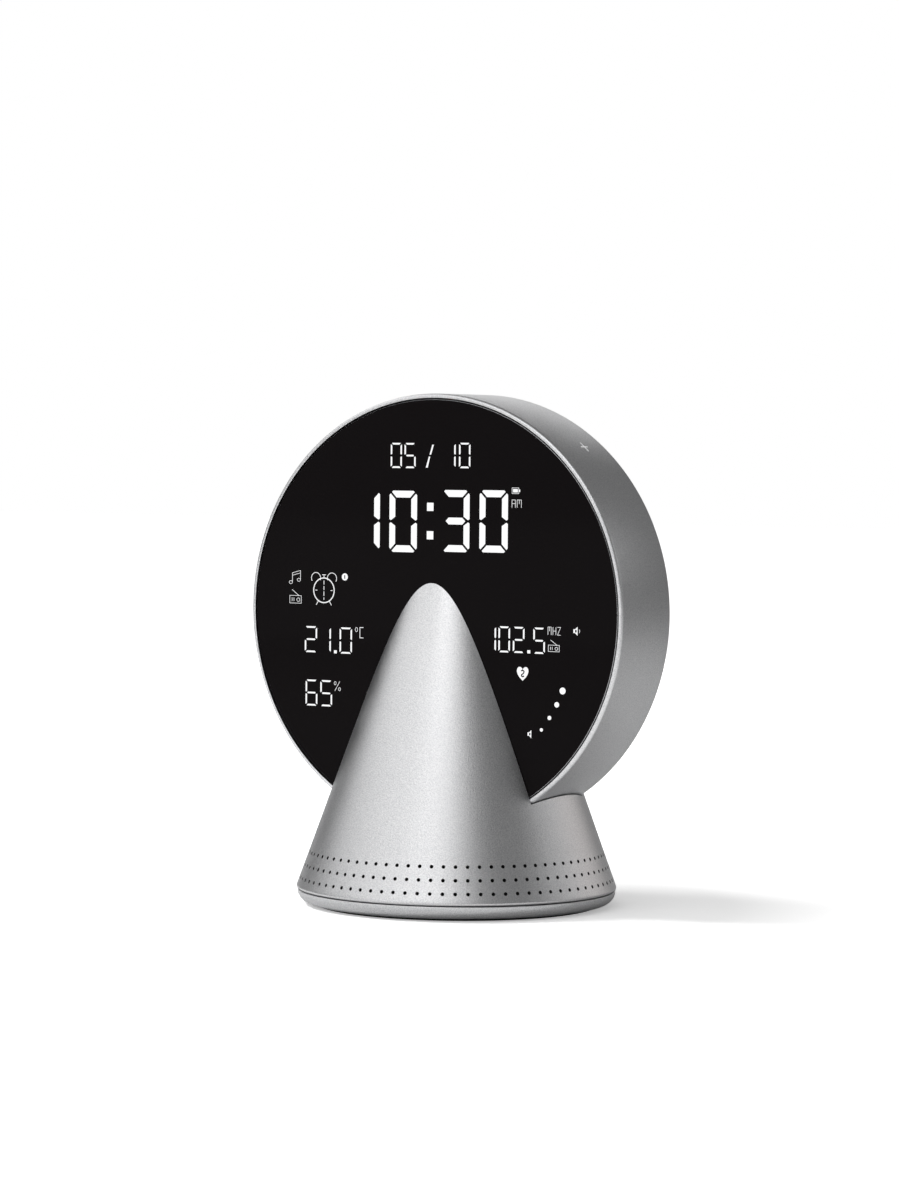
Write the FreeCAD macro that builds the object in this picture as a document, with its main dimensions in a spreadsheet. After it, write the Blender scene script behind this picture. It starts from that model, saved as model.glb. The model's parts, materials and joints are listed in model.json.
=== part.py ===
import FreeCAD, Part
import Sketcher
import math
import os
import re
import sys

# A bedside talking clock: a round display head stands in a slot in a perforated cone.
# Frame: +Z up, -Y to the front, origin at the centre of the foot's underside.
# Head pieces are drawn as seen from the front (x right, y up, z towards the viewer), with z = 0 at the
# rim's lip, and in_head stands them in the slot. Base pieces are drawn in the object's own frame.

# Driving dimensions in millimetres, degrees and counts
SIZES = {
    # head
    "head_radius": 77.5,
    "head_depth": 34.0,
    "head_front": 18.2,
    "head_lift": 27.5,
    # rim
    "rim_wall": 1.5,
    "rim_front_bevel": 0.9,
    # front glass
    "glass_gap": 0.55,
    "glass_inset": 0.15,
    "glass_thickness": 2.0,
    # diffuser sheet and display frame
    "sheet_margin": 5.0,
    "sheet_thickness": 0.3,
    "sheet_gap": 0.2,
    "frame_gap": 0.2,
    "frame_thickness": 3.0,
    "post_margin": 4.5,
    "post_radius": 3.0,
    "neck_width": 74.0,
    "neck_rise": 22.0,
    "neck_depth": 22.0,
    # display board and lamps
    "display_margin": 9.0,
    "board_thickness": 1.6,
    "lamp_width": 3.2,
    "lamp_height": 1.6,
    "lamp_thickness": 0.8,
    "notch_gap": 0.4,
    # battery
    "tape_thickness": 0.2,
    "battery_width": 60.0,
    "battery_height": 50.0,
    "battery_gap": 3.65,
    # rear cover
    "cover_inset": 0.2,
    "cover_thickness": 2.0,
    "cover_gap": 0.2,
    "standoff_length": 11.6,
    "standoff_side": 5.0,
    "standoff_margin": 6.0,
    "standoff_inset": 22.0,
    "vent_width": 9.0,
    "vent_height": 1.2,
    "vent_pitch": 2.6,
    "vent_up": 12.0,
    # main board and what stands on it
    "main_half_share": 0.6842,
    "main_up_share": 0.6053,
    "main_down_share": 0.3947,
    "edge_margin": 8.0,
    "chip_side": 10.0,
    "chip_thickness": 1.2,
    "radio_module_width": 22.0,
    "radio_module_height": 16.0,
    "radio_module_thickness": 2.4,
    "radio_module_up": 20.0,
    "connector_width": 8.0,
    "connector_height": 5.0,
    "connector_depth": 5.0,
    "sensor_side": 5.0,
    "sensor_thickness": 3.0,
    "ribbon_width": 12.0,
    "ribbon_thickness": 0.3,
    "ribbon_bow": 3.0,
    "ribbon_margin": 12.0,
    # set keys
    "key_width": 9.0,
    "key_height": 5.0,
    "key_corner": 1.2,
    "key_pitch": 18.0,
    "key_margin": 6.0,
    "key_proud": 0.5,
    "key_gap": 0.25,
    "key_flange": 1.0,
    "key_flange_thickness": 0.6,
    "key_back_gap": 0.15,
    "key_stem": 3.0,
    "key_travel": 0.6,
    "key_stop_gap": 0.15,
    "switch_side": 6.0,
    "switch_height": 4.0,
    # power switch
    "slide_down": 14.0,
    "slide_body_width": 13.0,
    "slide_body_height": 7.0,
    "slide_gap": 0.15,
    "knob_width": 4.0,
    "knob_height": 3.0,
    "knob_proud": 0.5,
    "knob_flange": 1.0,
    "knob_flange_thickness": 0.6,
    "knob_travel": 3.0,
    # sockets
    "usb_down": 22.0,
    "usb_width": 8.94,
    "usb_height": 3.16,
    "usb_wall": 0.3,
    "usb_mouth_depth": 6.5,
    "usb_tongue": 0.7,
    "usb_gap": 0.3,
    "jack_down": 4.0,
    "jack_radius": 3.2,
    "jack_bore": 1.8,
    "jack_bore_depth": 12.0,
    "jack_gap": 0.2,
    "jack_body": 8.0,
    "jack_body_height": 7.0,
    "socket_inset": 0.2,
    # strips inside the rim
    "strip_gap": 0.1,
    "strip_thickness": 0.2,
    "touch_width": 14.0,
    "touch_depth": 20.1,
    "aerial_width": 8.0,
    # screws
    "cover_screw_head": 2.3,
    "cover_screw_head_height": 1.2,
    "cover_screw_shank": 0.9,
    "cover_screw_length": 7.0,
    "neck_screw_head": 2.6,
    "neck_screw_head_height": 1.6,
    "neck_screw_shank": 1.3,
    "neck_screw_length": 11.0,
    "base_screw_head": 2.8,
    "base_screw_head_height": 1.3,
    "base_screw_shank": 1.3,
    "base_screw_length": 9.0,
    "speaker_screw_head": 1.8,
    "speaker_screw_head_height": 1.1,
    "speaker_screw_shank": 0.9,
    "speaker_screw_length": 7.0,
    "screw_gap": 0.15,
    "pilot_gap": 0.05,
    # speaker lead
    "lead_radius": 1.2,
    "lead_margin": 28.0,
    "lead_bore_gap": 1.3,
    "lead_end_gap": 0.1,
    # cone shell
    "seam_height": 5.8,
    "foot_radius": 57.65,
    "apex_height": 166.699,
    "cone_wall": 2.2,
    "cone_crop": 8.0,
    "foot_bevel_width": 0.75,
    "foot_bevel_height": 0.7,
    "slot_gap": 0.35,
    "slot_side_gap": 0.15,
    "first_row": 9.85,
    "row_pitch": 4.545,
    "hole_radius": 0.62,
    "boss_margin": 3.76094,
    "boss_radius": 3.2,
    "boss_height": 30.0,
    # liner behind the holes
    "liner_gap": 0.3,
    "liner_thickness": 0.6,
    "liner_low": 6.4,
    "liner_high": 22.4,
    # base tray and foot pad
    "pad_inset": 6.5,
    "pad_thickness": 0.9,
    "tray_inset": 0.65,
    "tray_seam": 0.3,
    "tray_round": 4.3,
    "tray_floor": 2.5,
    "tray_wall": 2.6,
    # speaker
    "box_margin": 11.0,
    "box_wall": 2.2,
    "box_low": 9.0,
    "box_high": 24.2,
    "box_boss": 5.0,
    "box_boss_margin": 6.4,
    "leg_width": 7.0,
    "leg_thickness": 5.0,
    "leg_height": 8.0,
    "flange_gap": 0.35,
    "speaker_flange": 1.2,
    "mouth_margin": 11.0,
    "basket_height": 7.5,
    "basket_plate": 1.4,
    "basket_top_radius": 13.0,
    "strut_width": 4.0,
    "strut_thickness": 1.8,
    "magnet_radius": 12.5,
    "magnet_height": 4.0,
    "cone_edge_gap": 0.3,
    "cone_lip": 1.2,
    "cone_thickness": 0.5,
    "cone_rise": 5.0,
    "dust_cap_radius": 6.0,
    "foam_width": 36.0,
    "foam_depth": 24.0,
    "foam_thickness": 0.6,
    "foam_gap": 0.05,
    # one overrun for every cut
    "cut_overrun": 1.0,
}
# Counts and angles
COLUMNS = 80
ROWS = 3
HOLE_SIDES = 4
LINER_SIDES = 24
BOARD_SIDES = 16
BOX_SIDES = 12
DRIVER_SIDES = 16
SCREW_SIDES = 6
FRAME_SIDES = 40
KEYS = 4
VENTS = 5
POST_ANGLES = (45, 135, 225, 315)
NECK_ANGLES = (-22.6, 22.6)
TOUCH_ANGLES = (-40, 0, 40)
TOUCH_SPAN = 12
AERIAL_START = 95
AERIAL_SPAN = 55
TRAY_CURVE = (0, 30, 60, 90)
# Angle of the head's top, counted from its right side
TOP_ANGLE = 90
# Windows in the display frame as shares of the rim's bore: width, height, across and up
WINDOW_SHARES = {
    "time": (0.868, 0.355, 0.079, 0.434),
    "date": (0.526, 0.158, 0.0, 0.733),
    "climate": (0.447, 0.658, -0.579, -0.105),
    "radio": (0.447, 0.5, 0.553, -0.263),
}
# Lamp places as shares of each window's width and height, counted from its centre
LAMP_SHARES = {
    "time": [(-0.42, 0.0), (-0.25, 0.0), (-0.08, 0.0), (0.08, 0.0), (0.25, 0.0), (0.42, 0.0)],
    "date": [(-0.3, 0.0), (0.0, 0.0), (0.3, 0.0)],
    "climate": [(-0.25, 0.36), (0.25, 0.36), (0.0, 0.0), (0.0, -0.36)],
    "radio": [(-0.25, 0.3), (0.25, 0.3), (-0.2, -0.1), (0.1, -0.34)],
}
# Chip places on the main board as shares of its half width and of its upper and lower reach
CHIP_SHARES = [(-0.55, 0.45), (0.1, 0.5), (0.62, 0.3), (0.2, 0.1)]

doc = FreeCAD.newDocument("TalkingClock")
NODES = {}
ALIAS = re.compile(r"[a-z]+(?:_[a-z]+)+")


# Sheet and expressions
def make_sheet():
    sheet = doc.addObject("Spreadsheet::Sheet", "Sizes")
    for row, (alias, value) in enumerate(SIZES.items(), start=1):
        sheet.set(f"A{row}", alias)
        sheet.set(f"B{row}", str(value))
        sheet.setAlias(f"B{row}", alias)
    doc.recompute()
    return sheet


SHEET = make_sheet()


def size(alias):
    return float(SHEET.get(alias))


def linked(text):
    return ALIAS.sub(lambda found: "Sizes." + found.group(0), text)


def bind(item, **properties):
    for name, text in properties.items():
        item.setExpression(name, linked(text))
    return item


def place(item, x="0", y="0", z="0"):
    for axis, text in (("x", x), ("y", y), ("z", z)):
        item.setExpression("Placement.Base." + axis, linked(text))
    return item


def turn(item, axis, angle):
    item.Placement.Rotation = FreeCAD.Rotation(FreeCAD.Vector(*axis), angle)
    return item


# Basic solids
def block(name, width, height, depth, x="0", y="0", z="0"):
    """A box centred on x and y, from z upwards."""
    item = doc.addObject("Part::Box", name)
    bind(item, Length=width, Width=height, Height=depth)
    return place(item, f"({x}) - ({width}) / 2", f"({y}) - ({height}) / 2", z)


def rod(name, radius, length, x="0", y="0", z="0"):
    """A cylinder from z upwards."""
    item = doc.addObject("Part::Cylinder", name)
    bind(item, Radius=radius, Height=length)
    return place(item, x, y, z)


def prism(name, sides, radius, length, x="0", y="0", z="0"):
    """A regular prism from z upwards, radius to its corners."""
    item = doc.addObject("Part::Prism", name)
    item.Polygon = sides
    bind(item, Circumradius=radius, Height=length)
    return place(item, x, y, z)


def fuse(name, items):
    item = doc.addObject("Part::MultiFuse", name)
    item.Shapes = items
    return item


def common(name, items):
    item = doc.addObject("Part::MultiCommon", name)
    item.Shapes = items
    return item


def cut(name, base, tools):
    item = doc.addObject("Part::Cut", name)
    item.Base = base
    item.Tool = tools[0] if len(tools) == 1 else fuse(name + "_tools", tools)
    return item


def group(name, items):
    item = doc.addObject("Part::Compound", name)
    item.Links = items
    return item


def outline(name, points, width, y="0", z="0"):
    """A flat outline of named points in x and z, extruded along y and centred on it."""
    body = doc.addObject("PartDesign::Body", name + "_body")
    sketch = body.newObject("Sketcher::SketchObject", name + "_sketch")
    plane = next(item for item in body.Origin.OriginFeatures if item.Role == "XZ_Plane")
    draw_outline(sketch, plane, points)
    pad = body.newObject("PartDesign::Pad", name + "_pad")
    pad.Profile = sketch
    pad.Midplane = True
    bind(pad, Length=width)
    body.Tip = pad
    return place(body, "0", y, z)


def draw_outline(sketch, plane, points):
    """Closed straight outline whose corners are held at sheet sizes."""
    sketch.AttachmentSupport = [(plane, "")]
    sketch.MapMode = "FlatFace"
    count = len(points)
    rough = [FreeCAD.Vector(math.cos(math.tau * i / count), math.sin(math.tau * i / count), 0)
             for i in range(count)]
    for i in range(count):
        sketch.addGeometry(Part.LineSegment(rough[i], rough[(i + 1) % count]), False)
    for i in range(count):
        sketch.addConstraint(Sketcher.Constraint("Coincident", i, 2, (i + 1) % count, 1))
    for i, (across, up) in enumerate(points):
        for kind, text in (("DistanceX", across), ("DistanceY", up)):
            index = sketch.addConstraint(Sketcher.Constraint(kind, -1, 1, i, 1, size("head_depth")))
            sketch.setExpression(f"Constraints[{index}]", linked(text))


def turned(name, points):
    """A piece of revolution about its own Z axis, from an outline of named radii and heights."""
    body = doc.addObject("PartDesign::Body", name + "_body")
    sketch = body.newObject("Sketcher::SketchObject", name + "_sketch")
    plane = next(item for item in body.Origin.OriginFeatures if item.Role == "XZ_Plane")
    draw_outline(sketch, plane, points)
    turning = body.newObject("PartDesign::Revolution", name + "_turning")
    turning.Profile = sketch
    turning.ReferenceAxis = (sketch, ["V_Axis"])
    body.Tip = turning
    return body


def screw(kind, x="0", y="0", z="0", gap=None):
    """A flat-headed screw of one kind's sizes: its head starts at z and its shank points up.
    With a gap it is the space that such a screw needs."""
    spare = gap or "0"
    behind = "cut_overrun" if gap else "0"
    head = prism(kind + "_head", SCREW_SIDES, f"{kind}_head + {spare}", f"{kind}_head_height + {behind}",
                 z=f"-{behind}")
    shank = prism(kind + "_shank", SCREW_SIDES, f"{kind}_shank + {spare}", f"{kind}_length",
                  z=f"{kind}_head_height")
    return place(fuse(kind, [head, shank]), x, y, z)


def in_head(item):
    """Places a piece that is drawn in the front view into the head."""
    place(item, "0", "-head_front", HEAD_HEIGHT)
    return turn(item, (1, 0, 0), 90)


def node(name, item):
    item.Label = name
    NODES[name] = item
    return item


def post_place(angle):
    return f"{POST_CIRCLE} * cos({angle} deg)", f"{POST_CIRCLE} * sin({angle} deg)"


# Levels in the head, counted from the lip
GLASS_BACK = "-(glass_inset + glass_thickness)"
FRAME_BACK = f"({GLASS_BACK} - frame_thickness)"
BOARD_BACK = f"({FRAME_BACK} - board_thickness)"
COVER_BACK = "(cover_inset - head_depth)"
COVER_FRONT = f"({COVER_BACK} + cover_thickness)"
MAIN_BACK = f"({COVER_FRONT} + standoff_length)"
MAIN_FRONT = f"({MAIN_BACK} + board_thickness)"
RIM_BORE = "(head_radius - rim_wall)"
HEAD_HEIGHT = "(head_radius + head_lift)"
SHEET_RADIUS = f"({RIM_BORE} - sheet_margin)"
DISPLAY_RADIUS = f"({RIM_BORE} - display_margin)"
POST_CIRCLE = f"({RIM_BORE} - post_margin)"
SADDLE = "(head_radius + slot_gap + cone_wall)"
MID_DEPTH = "(head_depth / 2)"
FLOOR_TOP = "(pad_thickness + tray_floor)"

# The main board grows with the rim's bore, and what stands near its edges goes with it
MAIN_HALF = f"(main_half_share * {RIM_BORE})"
MAIN_UP = f"(main_up_share * {RIM_BORE})"
MAIN_DOWN = f"(main_down_share * {RIM_BORE})"
EDGE = f"({MAIN_HALF} - edge_margin)"
KEY_UP = f"({MAIN_UP} - key_margin)"
LEAD_ACROSS = f"({MAIN_HALF} - lead_margin)"

# The tray, the screw bosses and the speaker grow with the cone's foot
TRAY_RADIUS = "(foot_radius - tray_inset)"
PAD_RADIUS = f"({TRAY_RADIUS} - pad_inset)"
BOSS_RISE = f"({FLOOR_TOP} + boss_height - seam_height)"
BOSS_CIRCLE = f"(foot_radius * (1 - {BOSS_RISE} / (apex_height - seam_height)) - boss_margin)"
BOX_RADIUS = f"({BOSS_CIRCLE} - box_margin)"
BOX_BOSS_CIRCLE = f"({BOX_RADIUS} - box_boss_margin)"
MOUTH = f"({BOX_RADIUS} - mouth_margin)"


# Head
def make_rim():
    ring = turned("rim_ring", [
        (RIM_BORE, "0"),
        ("head_radius - rim_front_bevel", "0"),
        ("head_radius", "-rim_front_bevel"),
        ("head_radius", "-head_depth"),
        (RIM_BORE, "-head_depth"),
    ])
    tools = [neck_bore("rim_neck_bore", "neck_screw_shank + screw_gap", angle) for angle in NECK_ANGLES]
    tools.append(lead_bore("rim_lead_bore"))
    node("head_rim", in_head(cut("head_rim", ring, tools)))


def neck_bore(name, radius, angle):
    """A bore that runs towards the head's centre from under the saddle."""
    bore = prism(name, SCREW_SIDES, radius, "neck_screw_length + neck_screw_head_height + 2 * cut_overrun")
    reach = f"({SADDLE} + neck_screw_head_height + cut_overrun)"
    place(bore, f"{reach} * sin({angle} deg)", f"-{reach} * cos({angle} deg)", f"-{MID_DEPTH}")
    axis = FreeCAD.Vector(-math.sin(math.radians(angle)), math.cos(math.radians(angle)), 0)
    bore.Placement.Rotation = FreeCAD.Rotation(FreeCAD.Vector(0, 0, 1), axis)
    return bore


def lead_bore(name):
    """The hole that lets the speaker lead down through the neck."""
    length = f"{SADDLE} - {RIM_BORE} + neck_rise + 2 * cut_overrun"
    bore = prism(name, BOX_SIDES, "lead_radius + lead_bore_gap", length)
    place(bore, LEAD_ACROSS, f"-({SADDLE} + cut_overrun)", f"-{MID_DEPTH}")
    return turn(bore, (1, 0, 0), -90)


def make_glass():
    disc = rod("front_glass", f"{RIM_BORE} - glass_gap", "glass_thickness", z=GLASS_BACK)
    node("front_glass", in_head(group("front_glass_set", [disc])))


def make_diffuser():
    sheet = prism("diffuser", BOARD_SIDES, SHEET_RADIUS, "sheet_thickness",
                  z=f"{GLASS_BACK} - sheet_thickness")
    node("diffuser_sheet", in_head(group("diffuser_set", [sheet])))


def window(name):
    """Width, height and place of one window in the display frame."""
    return [f"{share} * {RIM_BORE}" for share in WINDOW_SHARES[name]]


def make_display_frame():
    plate = prism("frame_plate", FRAME_SIDES, f"{RIM_BORE} - frame_gap", "frame_thickness", z=FRAME_BACK)
    post_length = f"({FRAME_BACK} - {COVER_FRONT})"
    solids = [plate]
    pilots = []
    for angle in POST_ANGLES:
        x, y = post_place(angle)
        solids.append(prism("frame_post", SCREW_SIDES, "post_radius", f"{post_length} + frame_thickness / 2",
                            x, y, COVER_FRONT))
        pilots.append(prism("frame_pilot", SCREW_SIDES, "cover_screw_shank + pilot_gap",
                            "cover_screw_length + cut_overrun", x, y, f"{COVER_FRONT} - cut_overrun"))
    neck = block("neck_block", "neck_width", "neck_rise", "neck_depth",
                 y=f"-({RIM_BORE} - neck_rise / 2)", z=f"{FRAME_BACK} + frame_thickness / 2 - neck_depth")
    bound = prism("neck_bound", FRAME_SIDES, f"{RIM_BORE} - frame_gap", "head_depth", z="-head_depth")
    solids.append(common("neck", [neck, bound]))
    recess = prism("frame_recess", BOARD_SIDES, f"{SHEET_RADIUS} + sheet_gap",
                   "sheet_thickness + cut_overrun", z=f"{GLASS_BACK} - sheet_thickness")
    tools = [recess] + pilots
    for name in WINDOW_SHARES:
        width, height, x, y = window(name)
        tools.append(block(f"{name}_window", width, height, "frame_thickness + 2 * cut_overrun", x, y,
                           f"{FRAME_BACK} - cut_overrun"))
    for angle in NECK_ANGLES:
        tools.append(neck_bore("frame_neck_bore", "neck_screw_shank + pilot_gap", angle))
    tools.append(lead_bore("frame_lead_bore"))
    node("display_frame", in_head(cut("display_frame", fuse("frame_solid", solids), tools)))


def make_display_board():
    plate = prism("display_plate", BOARD_SIDES, DISPLAY_RADIUS, "board_thickness", z=BOARD_BACK)
    notch = block("display_notch", "neck_width + 2 * notch_gap", "neck_rise + 2 * notch_gap",
                  "board_thickness + 2 * cut_overrun", y=f"-({RIM_BORE} - neck_rise / 2)",
                  z=f"{BOARD_BACK} - cut_overrun")
    node("display_board", in_head(cut("display_board", plate, [notch])))
    lamps = []
    for name, places in LAMP_SHARES.items():
        width, height, x, y = window(name)
        for across, up in places:
            lamps.append(block("lamp", "lamp_width", "lamp_height", "lamp_thickness",
                               f"{x} + {across} * {width}", f"{y} + {up} * {height}", FRAME_BACK))
    node("display_lamps", in_head(group("display_lamps", lamps)))


def make_battery():
    thickness = f"{BOARD_BACK} - tape_thickness - battery_gap - {MAIN_FRONT}"
    cell = block("battery", "battery_width", "battery_height", thickness, z=f"{MAIN_FRONT} + battery_gap")
    node("battery_pack", in_head(group("battery_set", [cell])))


def make_rear_cover():
    disc = rod("cover_disc", f"{RIM_BORE} - cover_gap", "cover_thickness", z=COVER_BACK)
    solids = [disc]
    for side in (-1, 1):
        for across, up in (
            (f"({MAIN_HALF} - standoff_margin)", f"{MAIN_UP} - standoff_margin"),
            (f"({MAIN_HALF} - standoff_inset)", f"standoff_margin - {MAIN_DOWN}"),
        ):
            solids.append(block("standoff", "standoff_side", "standoff_side", "standoff_length",
                                f"{side} * {across}", up, COVER_FRONT))
    tools = [cover_screw(angle, "screw_gap") for angle in POST_ANGLES]
    through = "cover_thickness + 2 * cut_overrun"
    below = f"{COVER_BACK} - cut_overrun"
    for i in range(KEYS):
        tools.append(chamfered(f"key_hole_{i}", "key_width + 2 * key_gap", "key_height + 2 * key_gap",
                               "key_corner", through, key_across(i), KEY_UP, below))
    for i in range(VENTS):
        tools.append(block("vent", "vent_width", "vent_height", through, f"-{EDGE}",
                           f"vent_up + {i - (VENTS - 1) / 2} * vent_pitch", below))
    tools.append(block("slide_slot", "knob_width + knob_travel + 2 * slide_gap",
                       "knob_height + 2 * slide_gap", through, f"knob_travel / 2 - {EDGE}",
                       "-slide_down", below))
    tools.append(chamfered("usb_slot", "usb_width + 2 * usb_gap", "usb_height + 2 * usb_gap",
                           "usb_height / 3", through, EDGE, "-usb_down", below))
    tools.append(rod("jack_slot", "jack_radius + jack_gap", through, EDGE, "-jack_down", below))
    node("rear_cover", in_head(cut("rear_cover", fuse("cover_solid", solids), tools)))


def cover_screw(angle, gap=None):
    x, y = post_place(angle)
    return screw("cover_screw", x, y, COVER_BACK, gap)


def chamfered(name, width, height, corner, depth, x, y, z):
    """A rectangle with cut corners, from z upwards: the box less four turned corner blocks."""
    body = block(name + "_box", width, height, depth)
    tools = []
    for across in (-1, 1):
        for up in (-1, 1):
            tool = doc.addObject("Part::Prism", name + "_corner")
            tool.Polygon = 4
            bind(tool, Circumradius=corner, Height=f"{depth} + 2 * cut_overrun")
            tools.append(place(tool, f"{across} * ({width}) / 2", f"{up} * ({height}) / 2", "-cut_overrun"))
    return place(cut(name, body, tools), x, y, z)


def make_cover_screws():
    screws = [cover_screw(angle) for angle in POST_ANGLES]
    node("rear_cover_screws", in_head(group("rear_cover_screws", screws)))


def key_across(i):
    return f"{i - (KEYS - 1) / 2} * key_pitch"


def make_keys():
    """Each key: a cap through the cover, a flange that holds it in, and a stem down to its switch."""
    flange_back = f"({COVER_FRONT} + key_back_gap)"
    stem_end = f"({MAIN_BACK} - switch_height - key_travel - key_stop_gap)"
    switches = []
    for i in range(KEYS):
        across = key_across(i)
        cap = chamfered(f"key_cap_{i}", "key_width", "key_height", "key_corner",
                        f"{flange_back} - {COVER_BACK} + key_proud", across, KEY_UP,
                        f"{COVER_BACK} - key_proud")
        flange = block("key_flange", "key_width + 2 * key_flange", "key_height + 2 * key_flange",
                       "key_flange_thickness", across, KEY_UP, flange_back)
        stem = block("key_stem", "key_stem", "key_stem", f"{stem_end} - {flange_back}", across, KEY_UP,
                     flange_back)
        node(f"set_key_{i + 1}", in_head(fuse(f"set_key_{i + 1}", [cap, flange, stem])))
        switches.append(block("key_switch", "switch_side", "switch_side", "switch_height", across, KEY_UP,
                              f"{MAIN_BACK} - switch_height"))
    node("key_switches", in_head(group("key_switches", switches)))


def make_power_switch():
    """The knob stands at its off end and slides by knob_travel along +x."""
    flange_back = f"({COVER_FRONT} + slide_gap)"
    stem = block("knob_stem", "knob_width", "knob_height", f"{flange_back} - {COVER_BACK} + knob_proud",
                 f"-{EDGE}", "-slide_down", f"{COVER_BACK} - knob_proud")
    flange = block("knob_flange", "knob_width + 2 * knob_flange", "knob_height + 2 * knob_flange",
                   "knob_flange_thickness", f"-{EDGE}", "-slide_down", flange_back)
    node("power_switch_knob", in_head(fuse("power_switch_knob", [stem, flange])))
    top = f"({flange_back} + knob_flange_thickness + slide_gap)"
    body = block("slide_body", "slide_body_width", "slide_body_height", f"{MAIN_BACK} - {top}",
                 f"knob_travel / 2 - {EDGE}", "-slide_down", top)
    node("power_switch_body", in_head(group("power_switch_set", [body])))


def make_sockets():
    mouth = f"({COVER_BACK} + socket_inset)"
    shell = chamfered("usb_shell", "usb_width", "usb_height", "usb_height / 3", f"{MAIN_BACK} - {mouth}",
                      EDGE, "-usb_down", mouth)
    hollow = chamfered("usb_hollow", "usb_width - 2 * usb_wall", "usb_height - 2 * usb_wall",
                       "usb_height / 3", "usb_mouth_depth + cut_overrun", EDGE, "-usb_down",
                       f"{mouth} - cut_overrun")
    tongue = block("usb_tongue", "usb_width * 2 / 3", "usb_tongue", "usb_mouth_depth", EDGE, "-usb_down",
                   f"{mouth} + cut_overrun")
    node("usb_socket", in_head(fuse("usb_socket", [cut("usb_case", shell, [hollow]), tongue])))
    barrel = prism("jack_barrel", BOX_SIDES, "jack_radius", f"{MAIN_BACK} - {mouth}", EDGE, "-jack_down",
                   mouth)
    body = block("jack_body", "jack_body", "jack_body", "jack_body_height", EDGE, "-jack_down",
                 f"{MAIN_BACK} - jack_body_height")
    bore = rod("jack_bore", "jack_bore", "jack_bore_depth + cut_overrun", EDGE, "-jack_down",
               f"{mouth} - cut_overrun")
    node("audio_socket", in_head(cut("audio_socket", fuse("jack_solid", [barrel, body]), [bore])))


def make_main_board():
    plate = block("main_plate", f"2 * {MAIN_HALF}", f"{MAIN_UP} + {MAIN_DOWN}", "board_thickness",
                  y=f"({MAIN_UP} - {MAIN_DOWN}) / 2", z=MAIN_BACK)
    node("main_board", in_head(group("main_board_set", [plate])))
    chips = [block("chip", "chip_side", "chip_side", "chip_thickness", f"{across} * {MAIN_HALF}",
                   f"{up} * {MAIN_UP}", MAIN_FRONT) for across, up in CHIP_SHARES]
    node("board_chips", in_head(group("board_chips", chips)))
    module = block("radio_module_case", "radio_module_width", "radio_module_height", "radio_module_thickness",
                   "0", "radio_module_up", f"{MAIN_BACK} - radio_module_thickness")
    node("radio_module", in_head(group("radio_module_set", [module])))
    connector = block("connector_case", "connector_width", "connector_height", "connector_depth",
                      LEAD_ACROSS, f"connector_height / 2 - {MAIN_DOWN}", MAIN_FRONT)
    node("lead_connector", in_head(group("lead_connector_set", [connector])))
    sensor = block("sensor_case", "sensor_side", "sensor_side", "sensor_thickness", f"-{EDGE}", "vent_up",
                   f"{MAIN_BACK} - sensor_thickness")
    node("climate_sensor", in_head(group("climate_sensor_set", [sensor])))


def make_ribbon():
    """A flat cable that bows out between the two boards."""
    low = MAIN_FRONT
    high = BOARD_BACK
    rise = f"({high} - {low})"
    side = f"(ribbon_margin - {MAIN_HALF})"
    strip = outline("ribbon", [
        (side, low),
        (f"{side} + ribbon_thickness", low),
        (f"{side} + ribbon_thickness - ribbon_bow", f"{low} + {rise} / 3"),
        (f"{side} + ribbon_thickness - ribbon_bow", f"{low} + {rise} * 2 / 3"),
        (f"{side} + ribbon_thickness", high),
        (side, high),
        (f"{side} - ribbon_bow", f"{low} + {rise} * 2 / 3"),
        (f"{side} - ribbon_bow", f"{low} + {rise} / 3"),
    ], "ribbon_width", y=f"edge_margin - {MAIN_DOWN}")
    node("display_ribbon", in_head(group("display_ribbon", [strip])))


def strip_in_rim(name, start, span, width, depth):
    """A thin strip against the inside of the rim; its angles run clockwise from the top."""
    outer = prism(name + "_outer", COLUMNS, f"{RIM_BORE} - strip_gap", width)
    inner = prism(name + "_inner", COLUMNS, f"{RIM_BORE} - strip_gap - strip_thickness",
                  f"{width} + 2 * cut_overrun", z="-cut_overrun")
    sector = rod(name + "_sector", "head_radius", width)
    sector.Angle = span
    strip = common(name, [cut(name + "_ring", outer, [inner]), sector])
    place(strip, "0", "0", f"-{depth} - {width} / 2")
    return turn(strip, (0, 0, 1), TOP_ANGLE - start - span)


def make_strips():
    pads = [strip_in_rim(f"touch_pad_{i}", angle - TOUCH_SPAN / 2, TOUCH_SPAN, "touch_width", "touch_depth")
            for i, angle in enumerate(TOUCH_ANGLES)]
    node("touch_pads", in_head(group("touch_pads", pads)))
    aerial = strip_in_rim("aerial", AERIAL_START, AERIAL_SPAN, "aerial_width", "touch_depth")
    node("aerial_strip", in_head(group("aerial_set", [aerial])))


def make_neck_screws():
    """Pan head screws from under the saddle towards the head's centre."""
    screws = []
    for angle in NECK_ANGLES:
        item = screw("neck_screw")
        reach = f"({SADDLE} + neck_screw_head_height)"
        place(item, f"{reach} * sin({angle} deg)", f"-{reach} * cos({angle} deg)", f"-{MID_DEPTH}")
        axis = FreeCAD.Vector(-math.sin(math.radians(angle)), math.cos(math.radians(angle)), 0)
        item.Placement.Rotation = FreeCAD.Rotation(FreeCAD.Vector(0, 0, 1), axis)
        screws.append(item)
    node("neck_screws", in_head(group("neck_screws", screws)))


def make_lead():
    """The two-core lead drops straight from its connector through the neck to the speaker box."""
    low = f"({HEAD_HEIGHT} - box_high - lead_end_gap)"
    lead = prism("lead_tube", BOX_SIDES, "lead_radius", f"{low} - {MAIN_DOWN}")
    place(lead, LEAD_ACROSS, f"-{low}", f"-{MID_DEPTH}")
    turn(lead, (1, 0, 0), -90)
    node("speaker_lead", in_head(group("speaker_lead_set", [lead])))


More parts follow.
